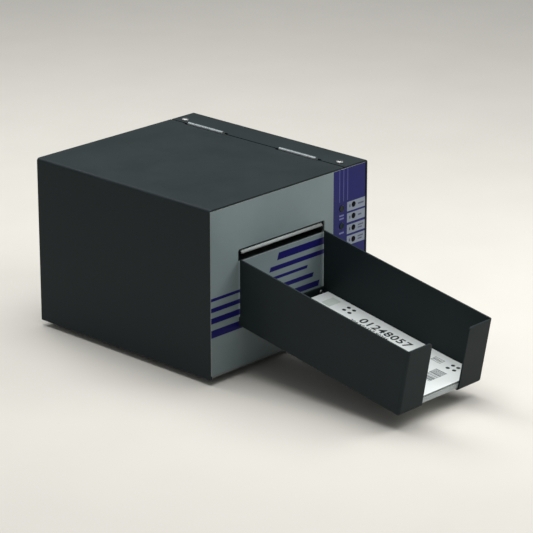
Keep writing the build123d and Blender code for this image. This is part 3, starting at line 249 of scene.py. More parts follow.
def cross_head(head_radius, head_height, shank_radius, shank_length):
    """A mesh in millimetres of a domed screw on the origin, its head up, with a cross cut into it."""
    form = bmesh.new()
    rim = 0.3
    bow = [(math.cos(angle), math.sin(angle)) for angle in (0.0, 0.3, 0.6, 0.9, 1.2)]
    dome = [(head_radius * out, head_height * (rim + (1 - rim) * rise)) for out, rise in bow]
    point = [(0, -shank_length), (shank_radius * 0.7, -shank_length), (shank_radius, 0.5 - shank_length)]
    neck = [(shank_radius, 0), (head_radius, 0)]
    turned(form, point + neck + dome + [(0, head_height)], (0, 0, 0), (0, 0, 1))
    closed_up(form)
    blank = added("screw_blank", meshed(form, "screw_blank"))
    form = bmesh.new()
    arm, wide = head_radius * 0.55, head_radius * 0.13
    for reach in ((arm, wide), (wide, arm)):
        made = slab(form, (-reach[0], -reach[1], head_height * 0.35), (reach[0], reach[1], head_height + 1))
        foot = [vert for vert in made if vert.co.z < head_height]
        bmesh.ops.scale(form, vec=(0.7, 0.7, 1), verts=foot)
    driver = added("screw_cross", meshed(form, "screw_cross"))
    cut = blank.modifiers.new("cross", "BOOLEAN")
    cut.operation, cut.solver, cut.object, cut.use_self = "DIFFERENCE", "EXACT", driver, True
    mesh = frozen(blank)
    bpy.data.objects.remove(driver)
    return mesh


def set_screws(name, replaced, seed, *groups):
    """Copies each group's screw to its (point, direction) pairs, each one turned as its driver left it."""
    chance = random.Random(seed)
    form = bmesh.new()
    for mesh, places in groups:
        for point, direction in places:
            aim = Vector(direction).to_track_quat("Z", "Y").to_matrix().to_4x4()
            turn = Matrix.Rotation(chance.uniform(0, 1.5), 4, "Z")
            join_mesh(form, mesh, Matrix.Translation(point) @ aim @ turn)
    as_piece(form, name, [zinc_screw], "case", [replaced])


zinc_screw = grained(
    "zinc_screw", tone(128, 131, 131), tone(166, 168, 165), 2.5, 0.2, 0.01, (0.3, 0.44), 1.0
)
short_pan = cross_head(2.8, 1.6, 1.5, 4.0)
long_pan = cross_head(2.8, 1.6, 1.5, 6.0)
base_z, foot_recess_z = 4.0, 2.0
down = (0, 0, -1)
under_base = [((x, y, base_z), down) for x in (-62.65, 44.35) for y in (-53.45, 34.05)]
under_base += [((71.55, y, base_z), down) for y in (-41.75, 0, 41.75)]
in_feet = [((x, y, foot_recess_z), down) for x in (-62.65, 62.65) for y in (-69.75, 69.75)]
set_screws("base_cross_screws", "base_screws", 3, (short_pan, under_base), (long_pan, in_feet))


# Main board: a green glass-fibre board on four brass standoffs, with tracks and tinned holes.
# It lies flat under the mechanism, and its sockets reach back to the rear wall.
def board_mask(name):
    """Green solder mask over runs of copper track, with tinned lands dotted over it."""
    material = grained(name, tone(20, 66, 38), tone(26, 78, 46), 14, 0.5, 0.01, (0.28, 0.4))
    tree, at = opened(material)
    cells = add_node(tree, "TexVoronoi", {"Vector": at, "Scale": 90.0}, distance="CHEBYCHEV", feature="F1")
    shade = add_node(tree, "SeparateColor", {0: cells.outputs["Color"]}).outputs[0]
    pick = ranged(tree, shade, 0.49, 0.51, 0.0, 1.0)
    runs = [
        add_node(tree, "TexWave", {"Vector": at, "Scale": 260.0}, bands_direction=way).outputs["Color"]
        for way in ("X", "DIAGONAL")
    ]
    track = blended(tree, pick, *runs)
    overlaid(material, ranged(tree, track, 0.72, 0.78, 0.0, 0.85), tone(44, 112, 62))
    dots = add_node(tree, "TexVoronoi", {"Vector": at, "Scale": 240.0, "Randomness": 0.35})
    overlaid(material, ranged(tree, dots.outputs["Distance"], 0.2, 0.23, 1.0, 0.0), tone(190, 192, 186))
    return material


board_green = board_mask("board_green")
dress(board_green, "main_board")
turned_brass = grained(
    "turned_brass", tone(160, 128, 62), tone(205, 172, 96), 3, 0.25, 0.01, (0.25, 0.4), 1.0
)
dress(turned_brass, "board_standoffs")


# Fitted parts: square chips with gull-wing legs, cans with a scored top, and white pin headers.
# They are soldered to the main board; two push switches and four lamps sit on the panel board.
def moulded(name, dark, light, rough=(0.42, 0.55), shine=0.5):
    """Moulded plastic, nearly even in tone, with a fine grain."""
    return grained(name, dark, light, 12, 0.3, 0.015, rough, shine=shine)


chip_black = moulded("chip_black", tone(24, 25, 27), tone(34, 35, 37), (0.5, 0.65))
tinned = grained("tinned_leg", tone(170, 172, 170), tone(212, 213, 208), 2, 0.3, 0.01, (0.25, 0.4), 1.0)
can_sleeve = moulded("can_sleeve", tone(22, 28, 58), tone(30, 38, 74), (0.3, 0.4))
header_white = moulded("header_white", tone(206, 200, 182), tone(222, 217, 200), (0.45, 0.55))
lamp_lens = moulded("lamp_lens", tone(150, 30, 24), tone(184, 44, 32), (0.12, 0.2))
part_finishes = [chip_black, tinned, can_sleeve, header_white, lamp_lens]
black, tin, sleeve, white, red = range(5)
board_left, board_front, board_width, board_depth, board_top = -50.15, -69.75, 82.0, 149.8, 12.8
up, frontward = (0, 0, 1), (0, -1, 0)
fitted = bmesh.new()


def on_board(across, along):
    """A point of the main board's top, from its shares of the width and the depth."""
    return Vector((board_left + across * board_width, board_front + along * board_depth, board_top))


def block(at, low, high, ease, material):
    """Adds a fitted block whose corners are measured from a point of a board."""
    slab(fitted, at + Vector(low), at + Vector(high), ease, 1, material)


leg_pitch, leg_half = 1.1, 0.2
for place in (on_board(0.3, 0.35), on_board(0.68, 0.5), on_board(0.35, 0.62)):
    block(place, (-6.4, -6.4, 0.35), (6.4, 6.4, 2.0), 0.25, black)
    turned(fitted, [(0, 0), (0.6, 0), (0.6, 0.02), (0, 0.02)], place + Vector((-5, 5, 2.0)), up, 12)
    for leg in range(11):
        middle = (leg - 5) * leg_pitch
        for near, far in ((-7.5, -6.3), (6.3, 7.5)):
            block(place, (near, middle - leg_half, 0), (far, middle + leg_half, 0.5), 0, tin)
            block(place, (middle - leg_half, near, 0), (middle + leg_half, far, 0.5), 0, tin)
can_profile = [
    (0, 0), (3.9, 0), (3.9, 0.8), (3.6, 1.2), (3.6, 1.5), (3.95, 1.9), (3.95, 10.5), (3.5, 10.9),
    (3.1, 10.9),
]
for place in (on_board(0.25, 0.8), on_board(0.4, 0.8), on_board(0.8, 0.72)):
    turned(fitted, can_profile, place, up, 28, sleeve)
    turned(fitted, [(3.2, 10.8), (2.2, 10.7), (0, 10.7)], place, up, 28, tin)
    for half_x, half_y in ((2.4, 0.15), (0.15, 2.4)):
        block(place, (-half_x, -half_y, 10.6), (half_x, half_y, 10.75), 0, black)
header_walls = ((-9, 9, -3, -2.1), (-9, 9, 2.1, 3), (-9, -8.1, -3, 3), (8.1, 9, -3, 3))
pin_pitch = 2.5
for place in (on_board(0.25, 0.12), on_board(0.7, 0.12), on_board(0.8, 0.3)):
    block(place, (-9, -3, 0), (9, 3, 2.0), 0.2, white)
    for left, right, front, back in header_walls:
        block(place, (left, front, 1.8), (right, back, 7.0), 0.15, white)
    for pin in range(6):
        middle = (pin - 2.5) * pin_pitch
        block(place, (middle - 0.32, -0.32, 1.8), (middle + 0.32, 0.32, 6.4), 0.1, tin)
key_x, key_rows = 52.05, (95.9, 83.1)
lamp_x, lamp_rows = 64.65, (96.3, 87.8, 79.1, 70.4)
panel_board_front = -80.5
for row in key_rows:
    place = Vector((key_x, panel_board_front, row))
    block(place, (-3, -2.2, -3), (3, 0, 3), 0.2, black)
    block(place, (-2.8, -2.3, -2.8), (2.8, -2.1, 2.8), 0.05, tin)
    turned(fitted, [(1.5, 2.2), (1.5, 2.38), (1.35, 2.5), (0, 2.5)], place, frontward, 20)
lamp_dome = [(1.5 * math.cos(angle), 1.5 + 1.4 * math.sin(angle)) for angle in (0, 0.3, 0.6, 0.9, 1.2)]
for row in lamp_rows:
    place = (lamp_x, panel_board_front, row)
    turned(fitted, [(0, 0), (1.5, 0)] + lamp_dome + [(0, 2.9)], place, frontward, 20, red)
bmesh.ops.recalc_face_normals(fitted, faces=fitted.faces)
as_piece(fitted, "fitted_parts", part_finishes, "case", ["board_components"])


# Rear sockets: a black power inlet with a bright centre pin, and a nine-way socket in a steel shell.
# Both are soldered to the main board and pass through the rear wall, the shell held by two hex posts.
def copy_of(node):
    """A form in millimetres with the faces of a node, its coinciding points joined."""
    form = bmesh.new()
    form.from_mesh(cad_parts[node].data)
    bmesh.ops.scale(form, vec=(1000, 1000, 1000), verts=form.verts)
    bmesh.ops.remove_doubles(form, verts=form.verts, dist=0.0005)
    return form


def eased_copy(name, node, width, material, body, segments=2):
    """A copy of a rigid node with its sharp edges eased by a width, which stands for it."""
    least_turn = math.radians(30)
    form = copy_of(node)
    bmesh.ops.dissolve_limit(form, angle_limit=0.02, verts=form.verts, edges=form.edges)
    sharp = [edge for edge in form.edges if edge.is_manifold and edge.calc_face_angle(0) > least_turn]
    bmesh.ops.bevel(
        form, geom=sharp, offset=width, affect="EDGES", segments=segments, profile=0.5, material=-1,
        clamp_overlap=True,
    )
    for face in form.faces:
        face.material_index = 0
    as_piece(form, name, [material], body, [node])


socket_black = moulded("socket_black", tone(22, 23, 25), tone(36, 37, 39))
dress(socket_black, "dc_jack", "power_switch_body")
inlet = bmesh.new()
wall_back, rearward = 86.25, (0, 1, 0)
inlet_at = (-37.15, wall_back, 18.3)
turned(inlet, [(1.02, -7.0), (1.02, -2.6), (0.7, -2.15), (0, -2.15)], inlet_at, rearward, 20)
turned(inlet, [(2.72, -6.0), (2.72, -0.4), (2.6, -0.4), (2.6, -6.0)], inlet_at, rearward, 28)
closed_up(inlet)
as_piece(inlet, "inlet_contacts", [tinned], "case")

shell_steel = grained(
    "shell_steel", tone(150, 152, 150), tone(190, 191, 186), 5, 0.3, 0.02, (0.3, 0.45), 1.0
)
insert_black = moulded("insert_black", tone(28, 30, 34), tone(40, 42, 46), (0.45, 0.6))
pin_gold = grained("pin_gold", tone(190, 150, 70), tone(226, 190, 110), 1.5, 0.2, 0.01, (0.2, 0.3), 1.0)
port_finishes = [shell_steel, insert_black, pin_gold]
steel, insert, gold = range(3)
port_x, port_z = 0.85, 20.3
core_front, core_back, shell_back = 85.8, 90.0, 90.7
port = bmesh.new()
slab(port, (port_x - 15.4, 74.55, board_top), (port_x + 15.4, 84.5, 25.3), 0.4, 2, insert)
slab(port, (port_x - 15.3, wall_back - 0.5, 14.2), (port_x + 15.3, wall_back, 25.2), 0.2, 2, steel)


def d_outline(grow, y):
    """Points around a D-shaped socket at one depth, wider at the top, with its corners rounded."""
    corners = [Vector(pair) for pair in ((-8.45, 4.2), (8.45, 4.2), (7.1, -4.2), (-7.1, -4.2))]
    bend = 1.6
    points = []
    for index, corner in enumerate(corners):
        before = corner + (corners[index - 1] - corner).normalized() * bend
        after = corner + (corners[(index + 1) % 4] - corner).normalized() * bend
        for share in (0, 0.2, 0.4, 0.6, 0.8, 1):
            points.append(before.lerp(corner, share).lerp(corner.lerp(after, share), share))
    return [Vector((port_x + p.x * grow, y, port_z + p.y * (1 + (grow - 1) * 2))) for p in points]


rings = [
    [port.verts.new(point) for point in d_outline(grow, y)]
    for grow, y in ((1.0, 86.0), (1.0, shell_back), (0.92, shell_back), (0.92, 86.4))
]
for lower, upper in zip(rings, rings[1:]):
    for index in range(len(lower)):
        port.faces.new((lower[index - 1], lower[index], upper[index], upper[index - 1]))
core = [port.verts.new(point) for point in d_outline(0.9, core_front)]
raised = bmesh.ops.extrude_face_region(port, geom=[port.faces.new(core)])
tip = [vert for vert in raised["geom"] if isinstance(vert, bmesh.types.BMVert)]
bmesh.ops.translate(port, vec=(0, core_back - core_front, 0), verts=tip)
for face in {face for vert in core + tip for face in vert.link_faces}:
    face.material_index = insert
contact_pitch = 2.75
contact = [(0.8, -0.1), (0.8, 0.05), (0.42, 0.05), (0.42, -0.1), (0.8, -0.1)]
for half, count in ((1, 5), (-1, 4)):
    row = port_z + half * contact_pitch / 2
    for index in range(count):
        x = port_x + (index - (count - 1) / 2) * contact_pitch
        turned(port, contact, (x, core_back, row), rearward, 14, gold)
post_radius, post_length = 2.7, 4.4
for x in (port_x - 12.5, port_x + 12.5):
    post = bmesh.ops.create_cone(
        port, cap_ends=True, segments=6, radius1=post_radius, radius2=post_radius, depth=post_length
    )["verts"]
    bmesh.ops.rotate(port, cent=(0, 0, 0), matrix=Matrix.Rotation(math.pi / 2, 3, "X"), verts=post)
    end = Vector((x, 90.6, port_z - 0.2))
    bmesh.ops.translate(port, vec=end - Vector((0, post_length / 2, 0)), verts=post)
    turned(port, [(1.6, 0), (1.6, 0.04), (1.2, 0.04), (0, 0.02)], end, rearward, 16)
closed_up(port)
as_piece(port, "nine_way_socket", port_finishes, "case", ["data_port"])


# Power switch: a black rocker that tilts in a snap-in frame, moulded with a satin face.
# Its two halves carry the plain on and off signs, filled with white.
mark_white = moulded("mark_white", tone(214, 214, 208), tone(228, 228, 222), (0.5, 0.6))
eased_copy("switch_rocker", "power_rocker", 0.45, socket_black, "rocker", 3)
signs = bmesh.new()
tilt = Matrix.Rotation(math.radians(6.0), 4, "X")
slope = math.atan2(1.6, 7.6)
face_out, half_middle = 2.28, 4.2
on_half, off_half = (
    Matrix.Translation((0, face_out, side * half_middle)) @ Matrix.Rotation(-side * slope, 4, "X")
    for side in (1, -1)
)
bar = slab(signs, (-0.35, 0, -1.6), (0.35, 0.06, 1.6))
bmesh.ops.transform(signs, matrix=on_half, verts=bar)
before = len(signs.verts)
turned(signs, [(1.7, 0), (1.7, 0.06), (1.1, 0.06), (1.1, 0)], (0, 0, 0), rearward, 32)
signs.verts.ensure_lookup_table()
bmesh.ops.transform(signs, matrix=off_half, verts=signs.verts[before:])
rocker_pivot = Matrix.Translation((60.25, wall_back, 30.0))
bmesh.ops.transform(signs, matrix=rocker_pivot @ tilt, verts=signs.verts)
closed_up(signs)
as_piece(signs, "rocker_signs", [mark_white], "rocker")


# Mechanism frame: two side plates with folded feet, three steel rods and the screws through them.
# The plates are punched from zinc-plated sheet, whose spangle shows as faint patches.
def zinc_sheet(name, dark, light):
    """Bright sheet whose crystals show as faint patches."""
    material = grained(name, dark, light, 7, 0.5, 0.01, (0.3, 0.45), 1.0)
    tree, at = opened(material)
    spangle = add_node(tree, "TexVoronoi", {"Vector": at, "Scale": 160.0}).outputs["Color"]
    grey = add_node(tree, "SeparateColor", {0: spangle}).outputs[0]
    overlaid(material, ranged(tree, grey, 0, 1, 0.0, 0.35), light)
    return material


plate_zinc = zinc_sheet("plate_zinc", tone(146, 149, 148), tone(178, 180, 176))
dress(plate_zinc, "left_side_plate", "right_side_plate", "ticket_bed", "upper_guide", "head_bracket")
ground_steel = grained(
    "ground_steel", tone(158, 160, 160), tone(184, 186, 184), 6, 0.25, 0.003, (0.26, 0.36), 1.0,
    (0.08, 1, 1),
)
dress(ground_steel, "tie_rods", "idler_pin", "platen_shaft", "feed_shaft", "head_pivot_pin", "cam_shaft")
left_plate_out, right_plate_out = -56.65, 38.35
rods = ((-41.95, 74.0), (25.05, 60.0), (56.05, 70.0))
motor_holes = ((-22.58, 27.101), (-22.58, 58.101), (8.42, 27.101), (8.42, 58.101))
in_plates = [((left_plate_out, y, z), (-1, 0, 0)) for y, z in rods]
in_plates += [((right_plate_out, y, z), (1, 0, 0)) for y, z in rods + motor_holes]
set_screws("frame_cross_screws", "frame_screws", 5, (long_pan, in_plates))


# Entry bezel: a black moulded mouth in the rear wall, where fanfold stock goes in.
# It snaps into the wall, and its throat leads on to the ticket bed.
dress(socket_black, "entry_guide")


# Rollers: black rubber sleeves ground on steel shafts, which turn in flanged bronze bushes.
# The platen backs the print head, and the feed roller works against a white pinch roller above it.
sleeve_rubber = grained(
    "sleeve_rubber", tone(30, 31, 32), tone(44, 45, 46), 8, 0.2, 0.02, (0.8, 0.65), 0.0, (0.2, 1, 1)
)
dress(sleeve_rubber, "platen_roller", "feed_roller")
bush_bronze = grained("bush_bronze", tone(132, 98, 58), tone(170, 132, 84), 2, 0.2, 0.02, (0.4, 0.55), 1.0)
dress(bush_bronze, "shaft_bushes")
acetal = moulded("natural_acetal", tone(208, 206, 194), tone(224, 222, 212), (0.35, 0.45))
dress(acetal, "pinch_roller", "idler_gear", "platen_gear", "cutter_gear")


# Gears, pulleys and belt: acetal gears driven by brass pinions, and a black belt on turned pulleys.
# The belt carries the platen's turning back to the feed roller, its outside woven and rubber-faced.
dress(turned_brass, "motor_pinion", "cutter_pinion")
pulley_metal = grained(
    "pulley_metal", tone(168, 170, 172), tone(204, 205, 204), 4, 0.2, 0.01, (0.25, 0.38), 1.0, (0.15, 1, 1)
)
dress(pulley_metal, "platen_pulley", "feed_pulley")


def woven_belt(name):
    """Black rubber with the fine ribs of a weave across it."""
    material = grained(name, tone(26, 27, 28), tone(38, 38, 38), 6, 0.25, 0.02, (0.7, 0.85))
    tree, at = opened(material)
    ribs = add_node(tree, "TexWave", {"Vector": at, "Scale": 340.0}, bands_direction="X").outputs["Color"]
    overlaid(material, ranged(tree, ribs, 0.3, 0.8, 0.0, 0.5), tone(56, 56, 55))
    return material


dress(woven_belt("woven_belt"), "timing_belt")


# Stepper motor: a stack of black steel laminations between two cast end caps.
# Its boss sits in the right plate and four screws pull it up; the cutter's small can motor is black too.
def laminated(name, low, high):
    """Cast caps at both ends of the motor's length, with fine dark laminations between them."""
    material = grained(name, tone(150, 152, 154), tone(176, 178, 178), 6, 0.4, 0.03, (0.38, 0.5), 1.0)
    tree, at = opened(material)
    across = add_node(tree, "SeparateXYZ", {0: at}).outputs[0]
    past_low = worked(tree, "GREATER_THAN", across, low / 1000)
    short_of_high = worked(tree, "LESS_THAN", across, high / 1000)
    stack = worked(tree, "MULTIPLY", past_low, short_of_high)
    sheets = add_node(tree, "TexWave", {"Vector": at, "Scale": 320.0}, bands_direction="X").outputs["Color"]
    sheets = ranged(tree, sheets, 0.2, 0.8, 0.0, 1.0)
    overlaid(material, stack, blended(tree, sheets, tone(22, 22, 24), tone(48, 48, 52)))
    return material


dress(laminated("motor_laminations", 10.9, 28.8), "stepper_motor")
can_black = grained(
    "can_black", tone(34, 35, 38), tone(52, 53, 56), 5, 0.3, 0.02, (0.3, 0.42), 0.6, (0.1, 1, 1)
)
dress(can_black, "cutter_motor")


# Print head: a ceramic strip with its glazed heating line, under a finned block of extruded aluminium.
# It hangs from a sprung bracket, which the green lever's cams press down or let go.
head_ceramic = moulded("head_ceramic", tone(196, 192, 182), tone(214, 211, 203), (0.25, 0.4))
dress(head_ceramic, "print_head")
head_line = bmesh.new()
slab(head_line, (-50.0, -20.6, 86.24), (31.7, -19.3, 86.3), 0.02, 1)
glaze = moulded("heater_glaze", tone(70, 60, 48), tone(92, 80, 64), (0.08, 0.15))
as_piece(head_line, "heater_line", [glaze], "head")
extruded = grained(
    "extruded_aluminium", tone(158, 161, 163), tone(190, 192, 192), 8, 0.3, 0.02, (0.32, 0.45), 1.0,
    (0.06, 1, 1),
)
eased_copy("finned_block", "heat_sink", 0.2, extruded, "head")
spring_steel = grained(
    "spring_steel", tone(140, 140, 138), tone(176, 176, 172), 4, 0.3, 0.01, (0.25, 0.35), 1.0
)
dress(spring_steel, "head_springs")
lever_green = moulded("lever_green", tone(26, 104, 62), tone(36, 122, 76), (0.38, 0.5))
eased_copy("release_lever", "head_lever", 0.35, lever_green, "cam", 3)


# Rotary cutter: a milled steel frame across the exit, a fixed blade below and a turning one above.
# The edges are ground bright, and the frame is held between the side plates.
milled_steel = grained(
    "milled_steel", tone(84, 87, 89), tone(100, 103, 104), 6, 0.35, 0.02, (0.32, 0.45), 1.0, (0.1, 1, 1)
)
dress(milled_steel, "cutter_frame")
ground_edge = grained(
    "ground_edge", tone(176, 178, 180), tone(214, 215, 214), 5, 0.2, 0.01, (0.14, 0.24), 1.0, (1, 0.1, 1)
)
dress(ground_edge, "cutter_rotor", "fixed_blade")


# Panel board and controls: a small upright board behind the panel carries two switches and four lamps.
# The dished push buttons pass through the panel in front of it, dark grey above and dark green below.
dress(board_green, "panel_board")
button_grey = moulded("button_grey", tone(24, 33, 35), tone(33, 41, 42), (0.5, 0.6), 0.2)
button_green = moulded("button_green", tone(5, 27, 36), tone(10, 35, 42), (0.5, 0.6), 0.2)
cap_front = -86.65
cap_profile = [
    (0, 2.8), (3.15, 2.8), (3.2, 2.7), (3.2, 2.25), (3.1, 2.2), (2.28, 2.2), (2.28, 0.3), (2.2, 0.1),
    (2.05, 0.0), (1.85, 0.02), (1.5, 0.14), (0.9, 0.24), (0, 0.28),
]
for node, body, row, material, finish in (
    ("feed_button", "feed_key", key_rows[0], button_grey, "grey_plastic"),
    ("load_button", "load_key", key_rows[1], button_green, "green_plastic"),
):
    cap = bmesh.new()
    turned(cap, cap_profile, (key_x, cap_front, row), rearward, 40)
    closed_up(cap)
    as_piece(cap, node + "_cap", [material], body, [node])


# Indicator lenses: four smoked lenses pressed into the panel beside their plates, one over each lamp.
# They look black while the lamps are off, each with a low dome that catches the light.
smoked = moulded("smoked_lens", tone(5, 6, 8), tone(10, 11, 14), (0.3, 0.4), 0.04)
lens_front = -86.3
lens_profile = [
    (0, 2.35), (1.6, 2.35), (2.0, 2.2), (2.08, 0.3), (2.05, 0.18), (1.95, 0.12), (1.75, 0.12), (1.7, 0.16),
    (1.4, 0.08), (0.9, 0.03), (0, 0.0),
]
lenses = bmesh.new()
for row in lamp_rows:
    turned(lenses, lens_profile, (lamp_x, lens_front, row), rearward)
closed_up(lenses)
as_piece(lenses, "lamp_lenses", [smoked], "case", ["indicator_lenses"])


# Front overlay: a printed film stuck on the flat of the panel, silver grey with navy print behind it.
# A navy band runs down its right side, with three thin lines, the plates of the lenses and small bars.
film_colours = [
    grained(name, tone(*dark), tone(*light), 45, 0.4, 0.008, (0.4, 0.5), shine=0.2) for name, dark, light in (
        ("film_grey", (120, 134, 136), (128, 142, 144)),
        ("film_band", (16, 20, 90), (21, 25, 98)),
        ("film_line", (78, 82, 140), (86, 90, 148)),
        ("film_navy", (18, 15, 86), (23, 20, 94)),
        ("film_plate", (130, 140, 155), (138, 148, 163)),
        ("film_mark", (78, 84, 108), (86, 92, 116)),
        ("film_edge", (150, 156, 154), (160, 166, 164)),
        ("film_label", (104, 108, 156), (114, 118, 166)),
    )
]
plain, band, line, navy, plate, mark, rim, label = range(8)
from_left, above = -79.25, 4.0
band_left = 122.6 + from_left


def level_bar(left, right, middle, half):
    """A box of the print as (left, right, low, high), from its middle's height over the base."""
    return (left, right, middle + above - half, middle + above + half)


plate_spans = ((88.3, 95.3), (80.0, 86.9), (71.5, 78.2), (63.0, 69.9))
plates = [(137.0 + from_left, 78.0, low + above, high + above) for low, high in plate_spans]
line_half, line_foot, film_top = 0.3, 96.8, 130.0
lines = [
    (x + from_left - line_half, x + from_left + line_half, line_foot + above, film_top)
    for x in (129.0, 133.2, 137.4)
]
label_bars = [level_bar(49.6, 54.4, row, 0.6) for row in (86.6, 84.3, 73.8)]
word_left = 69.3
word_bars = [level_bar(word_left, 75.3, 91.8, 0.6), level_bar(word_left, 73.0, 83.45, 0.6)]
for row in (74.85, 66.45):
    word_bars += [level_bar(word_left, 75.0, row + 1.0, 0.5), level_bar(word_left, 73.6, row - 1.0, 0.5)]
word_bars += [level_bar(59.9, 61.4, row, 1.1) for row in (92.0, 83.5, 74.9, 66.5)]
# Each slant-ended bar has its height over the base, its thickness and its two ends from the left.
lean = 0.35
sweeps = [
    (58.0, 2.2, -2.0, 96.0), (50.6, 3.2, -2.0, 102.0), (42.9, 4.2, -2.0, 108.0), (33.4, 5.6, -2.0, 114.0),
    (73.0, 5.2, 66.0, 119.0), (65.0, 3.4, 58.0, 119.0),
]


def inside(box, x, z):
    """Whether a point of the film lies in a box of the print."""
    return box[0] < x < box[1] and box[2] < z < box[3]


def printed(x, z):
    """The print at a point of the film, as the place of its colour in the film's list."""
    if x > band_left:
        for group, colour in ((word_bars, mark), (plates, plate), (label_bars, label), (lines, line)):
            if any(inside(box, x, z) for box in group):
                return colour
        return band
    for height, thick, left, right in sweeps:
        rise = z - above - height
        along = x - from_left - rise * math.tan(lean)
        if abs(rise) < thick / 2 and left < along < right:
            return navy
    return plain


film = copy_of("front_overlay")
left_edge, top_edge = -76.5, 121.5
to_left_cover, to_top_cover = -1.45, 2.3
for vert in film.verts:
    if vert.co.x < left_edge:
        vert.co.x += to_left_cover
    if vert.co.z > top_edge:
        vert.co.z += to_top_cover
sideways = (1, 0, 0)
cuts = [((band_left, 0, 0), sideways)]
for left, right, low, high in plates + lines + label_bars + word_bars:
    cuts += [((x, 0, 0), sideways) for x in (left, right)] + [((0, 0, z), up) for z in (low, high)]
for height, thick, left, right in sweeps:
    cuts += [((0, 0, height + above + side * thick / 2), up) for side in (-1, 1)]
    for end in (left, right):
        if end > 0:
            cuts += [((end + from_left, 0, height + above), (1, 0, -math.tan(lean)))]
slant_reach = 12
for point, normal in cuts:
    slanted = normal[0] and normal[2]
    near = [f for f in film.faces if not slanted or abs(f.calc_center_median().z - point[2]) < slant_reach]
    geometry = list({v for f in near for v in f.verts}) + list({e for f in near for e in f.edges}) + near
    bmesh.ops.bisect_plane(film, geom=geometry, plane_co=point, plane_no=normal, dist=0.0001)
for face in film.faces:
    middle = face.calc_center_median()
    face.material_index = printed(middle.x, middle.z) if face.normal.y < -0.5 else rim
as_piece(film, "printed_film", film_colours, "case", ["front_overlay"])


# Exit bar: a slanted strip of bright stainless steel above the exit, against which a ticket is torn off.
# It is bent back into a flange, and rolling left fine streaks along it.
bar_steel = grained(
    "bar_steel", tone(112, 118, 116), tone(124, 129, 127), 10, 0.35, 0.006, (0.38, 0.48), 0.85, (0.04, 1, 1)
)
eased_copy("tear_bar", "exit_bar", 0.25, bar_steel, "case", 3)


# Covers: the hinged top with the left side, and the fixed right side with its strip of the top.
# Both are folded from steel sheet and powder coated in a fine-textured black; the edges are a little lighter
# for rubbed coat and a painted highlight.
def black_coat(name):
    """The black powder coat of the covers and the tray, with its fine texture."""
    return grained(name, tone(29, 38, 40), tone(35, 44, 46), 28, 0.7, 0.06, (0.5, 0.62), shine=0.14)


case_black = black_coat("case_black")
cover_low, cover_high = (-79.25, -85.75, 4), (79.25, 85.75, 126)
# Lighter edges and bends: partly rubbed coat, partly a painted highlight.
worn_and_highlit_edges(case_black, cover_low, cover_high, tone(66, 74, 76), 0.5, strength=0.18)
dress(case_black, "hinged_cover", "side_cover")


# Hinges and top screws: two rolled butt hinges of satin steel along the seam, with a pin through each.
# Their leaves lie under the sheets, and two domed screws hold the fixed strip down.
hinge_satin = grained(
    "hinge_satin", tone(129, 136, 138), tone(142, 148, 149), 6, 0.3, 0.006, (0.44, 0.54), 0.8, (1, 0.08, 1)
)
dress(hinge_satin, "hinge_cover_leaves", "hinge_fixed_leaves", "hinge_pins")
top_pan = cross_head(2.75, 1.7, 1.5, 6.0)
top_places = [((59.85, -76.85, 126.0), up), ((59.35, 76.35, 126.0), up)]
set_screws("top_cross_screws", "top_screws", 7, (top_pan, top_places))


# Ticket tray: a deep channel folded from black sheet, with two lips and a finger gap at its front.
# It slopes down from the panel, where two bright screws hold the turned-up end of its floor.
tray_black = black_coat("tray_black")
dress(tray_black, "ticket_tray")
tray_pan = cross_head(1.9, 1.2, 1.2, 5.0)
tray_places = [((x, -87.35, 39.655), frontward) for x in (-48.175, 29.875)]
set_screws("tray_cross_screws", "tray_screws", 11, (tray_pan, tray_places))


# Ticket stack: cut tickets of pale thermal card, heaped against the lips as they fell.
# The sheets lie slightly askew on each other, so the heap's edge is ragged.
def card(name, dark, light):
    """Coated ticket card, or the print on it, with a very fine even grain."""
    return grained(name, dark, light, 35, 0.25, 0.006, (0.6, 0.72), shine=0.2)


def mark_edges(form):
    """Gives the cut edges of sheets that lie flat their second finish."""
    for face in form.faces:
        if abs(face.normal.z) < 0.5:
            face.material_index = 1


card_white = card("card_white", tone(213, 219, 217), tone(218, 224, 222))
card_edge = card("card_edge", tone(160, 168, 171), tone(196, 203, 205))
tray_origin = Vector((-9.15, -86.15, 36.155))
tray_slope = Matrix.Rotation(math.radians(10.03), 4, "X")
on_tray = Matrix.Translation(tray_origin) @ tray_slope
chance = random.Random(21)
heap = bmesh.new()
sheet_count, sheet_gauge, heap_low = 16, 0.25, 1.25
half_width, sheet_front, sheet_back = 41.15, -144.35, -4.95
for number in range(sheet_count):
    low = heap_low + number * sheet_gauge
    high = low + sheet_gauge - 0.01
    made = slab(heap, (-half_width, sheet_front, low + 0.02), (half_width, sheet_back, high), 0.03, 1)
    twist = Matrix.Rotation(chance.uniform(-0.0009, 0.0009), 4, "Z")
    slide = Matrix.Translation((chance.uniform(-0.06, 0.06), chance.uniform(-0.08, 0.08), 0))
    bmesh.ops.transform(heap, matrix=slide @ twist, verts=made)
mark_edges(heap)
bmesh.ops.transform(heap, matrix=on_tray, verts=heap.verts)
as_piece(heap, "ticket_heap", [card_white, card_edge], "tickets", ["ticket_stack"])


# Top ticket: the last one printed, its front end curled up a little towards the print side.
# The thermal print is plain digits, corner dots, a frame and grey bars in soft black.
def curl(point):
    """Lifts a point of the flat ticket, in millimetres over the tray's floor, to follow its curl."""
    radius, start, flat = 362.05, -110.51, 5.25
    if point.y < start:
        angle = (start - point.y) / radius
        over = radius - (point.z - flat)
        point.y, point.z = start - over * math.sin(angle), flat + radius - over * math.cos(angle)


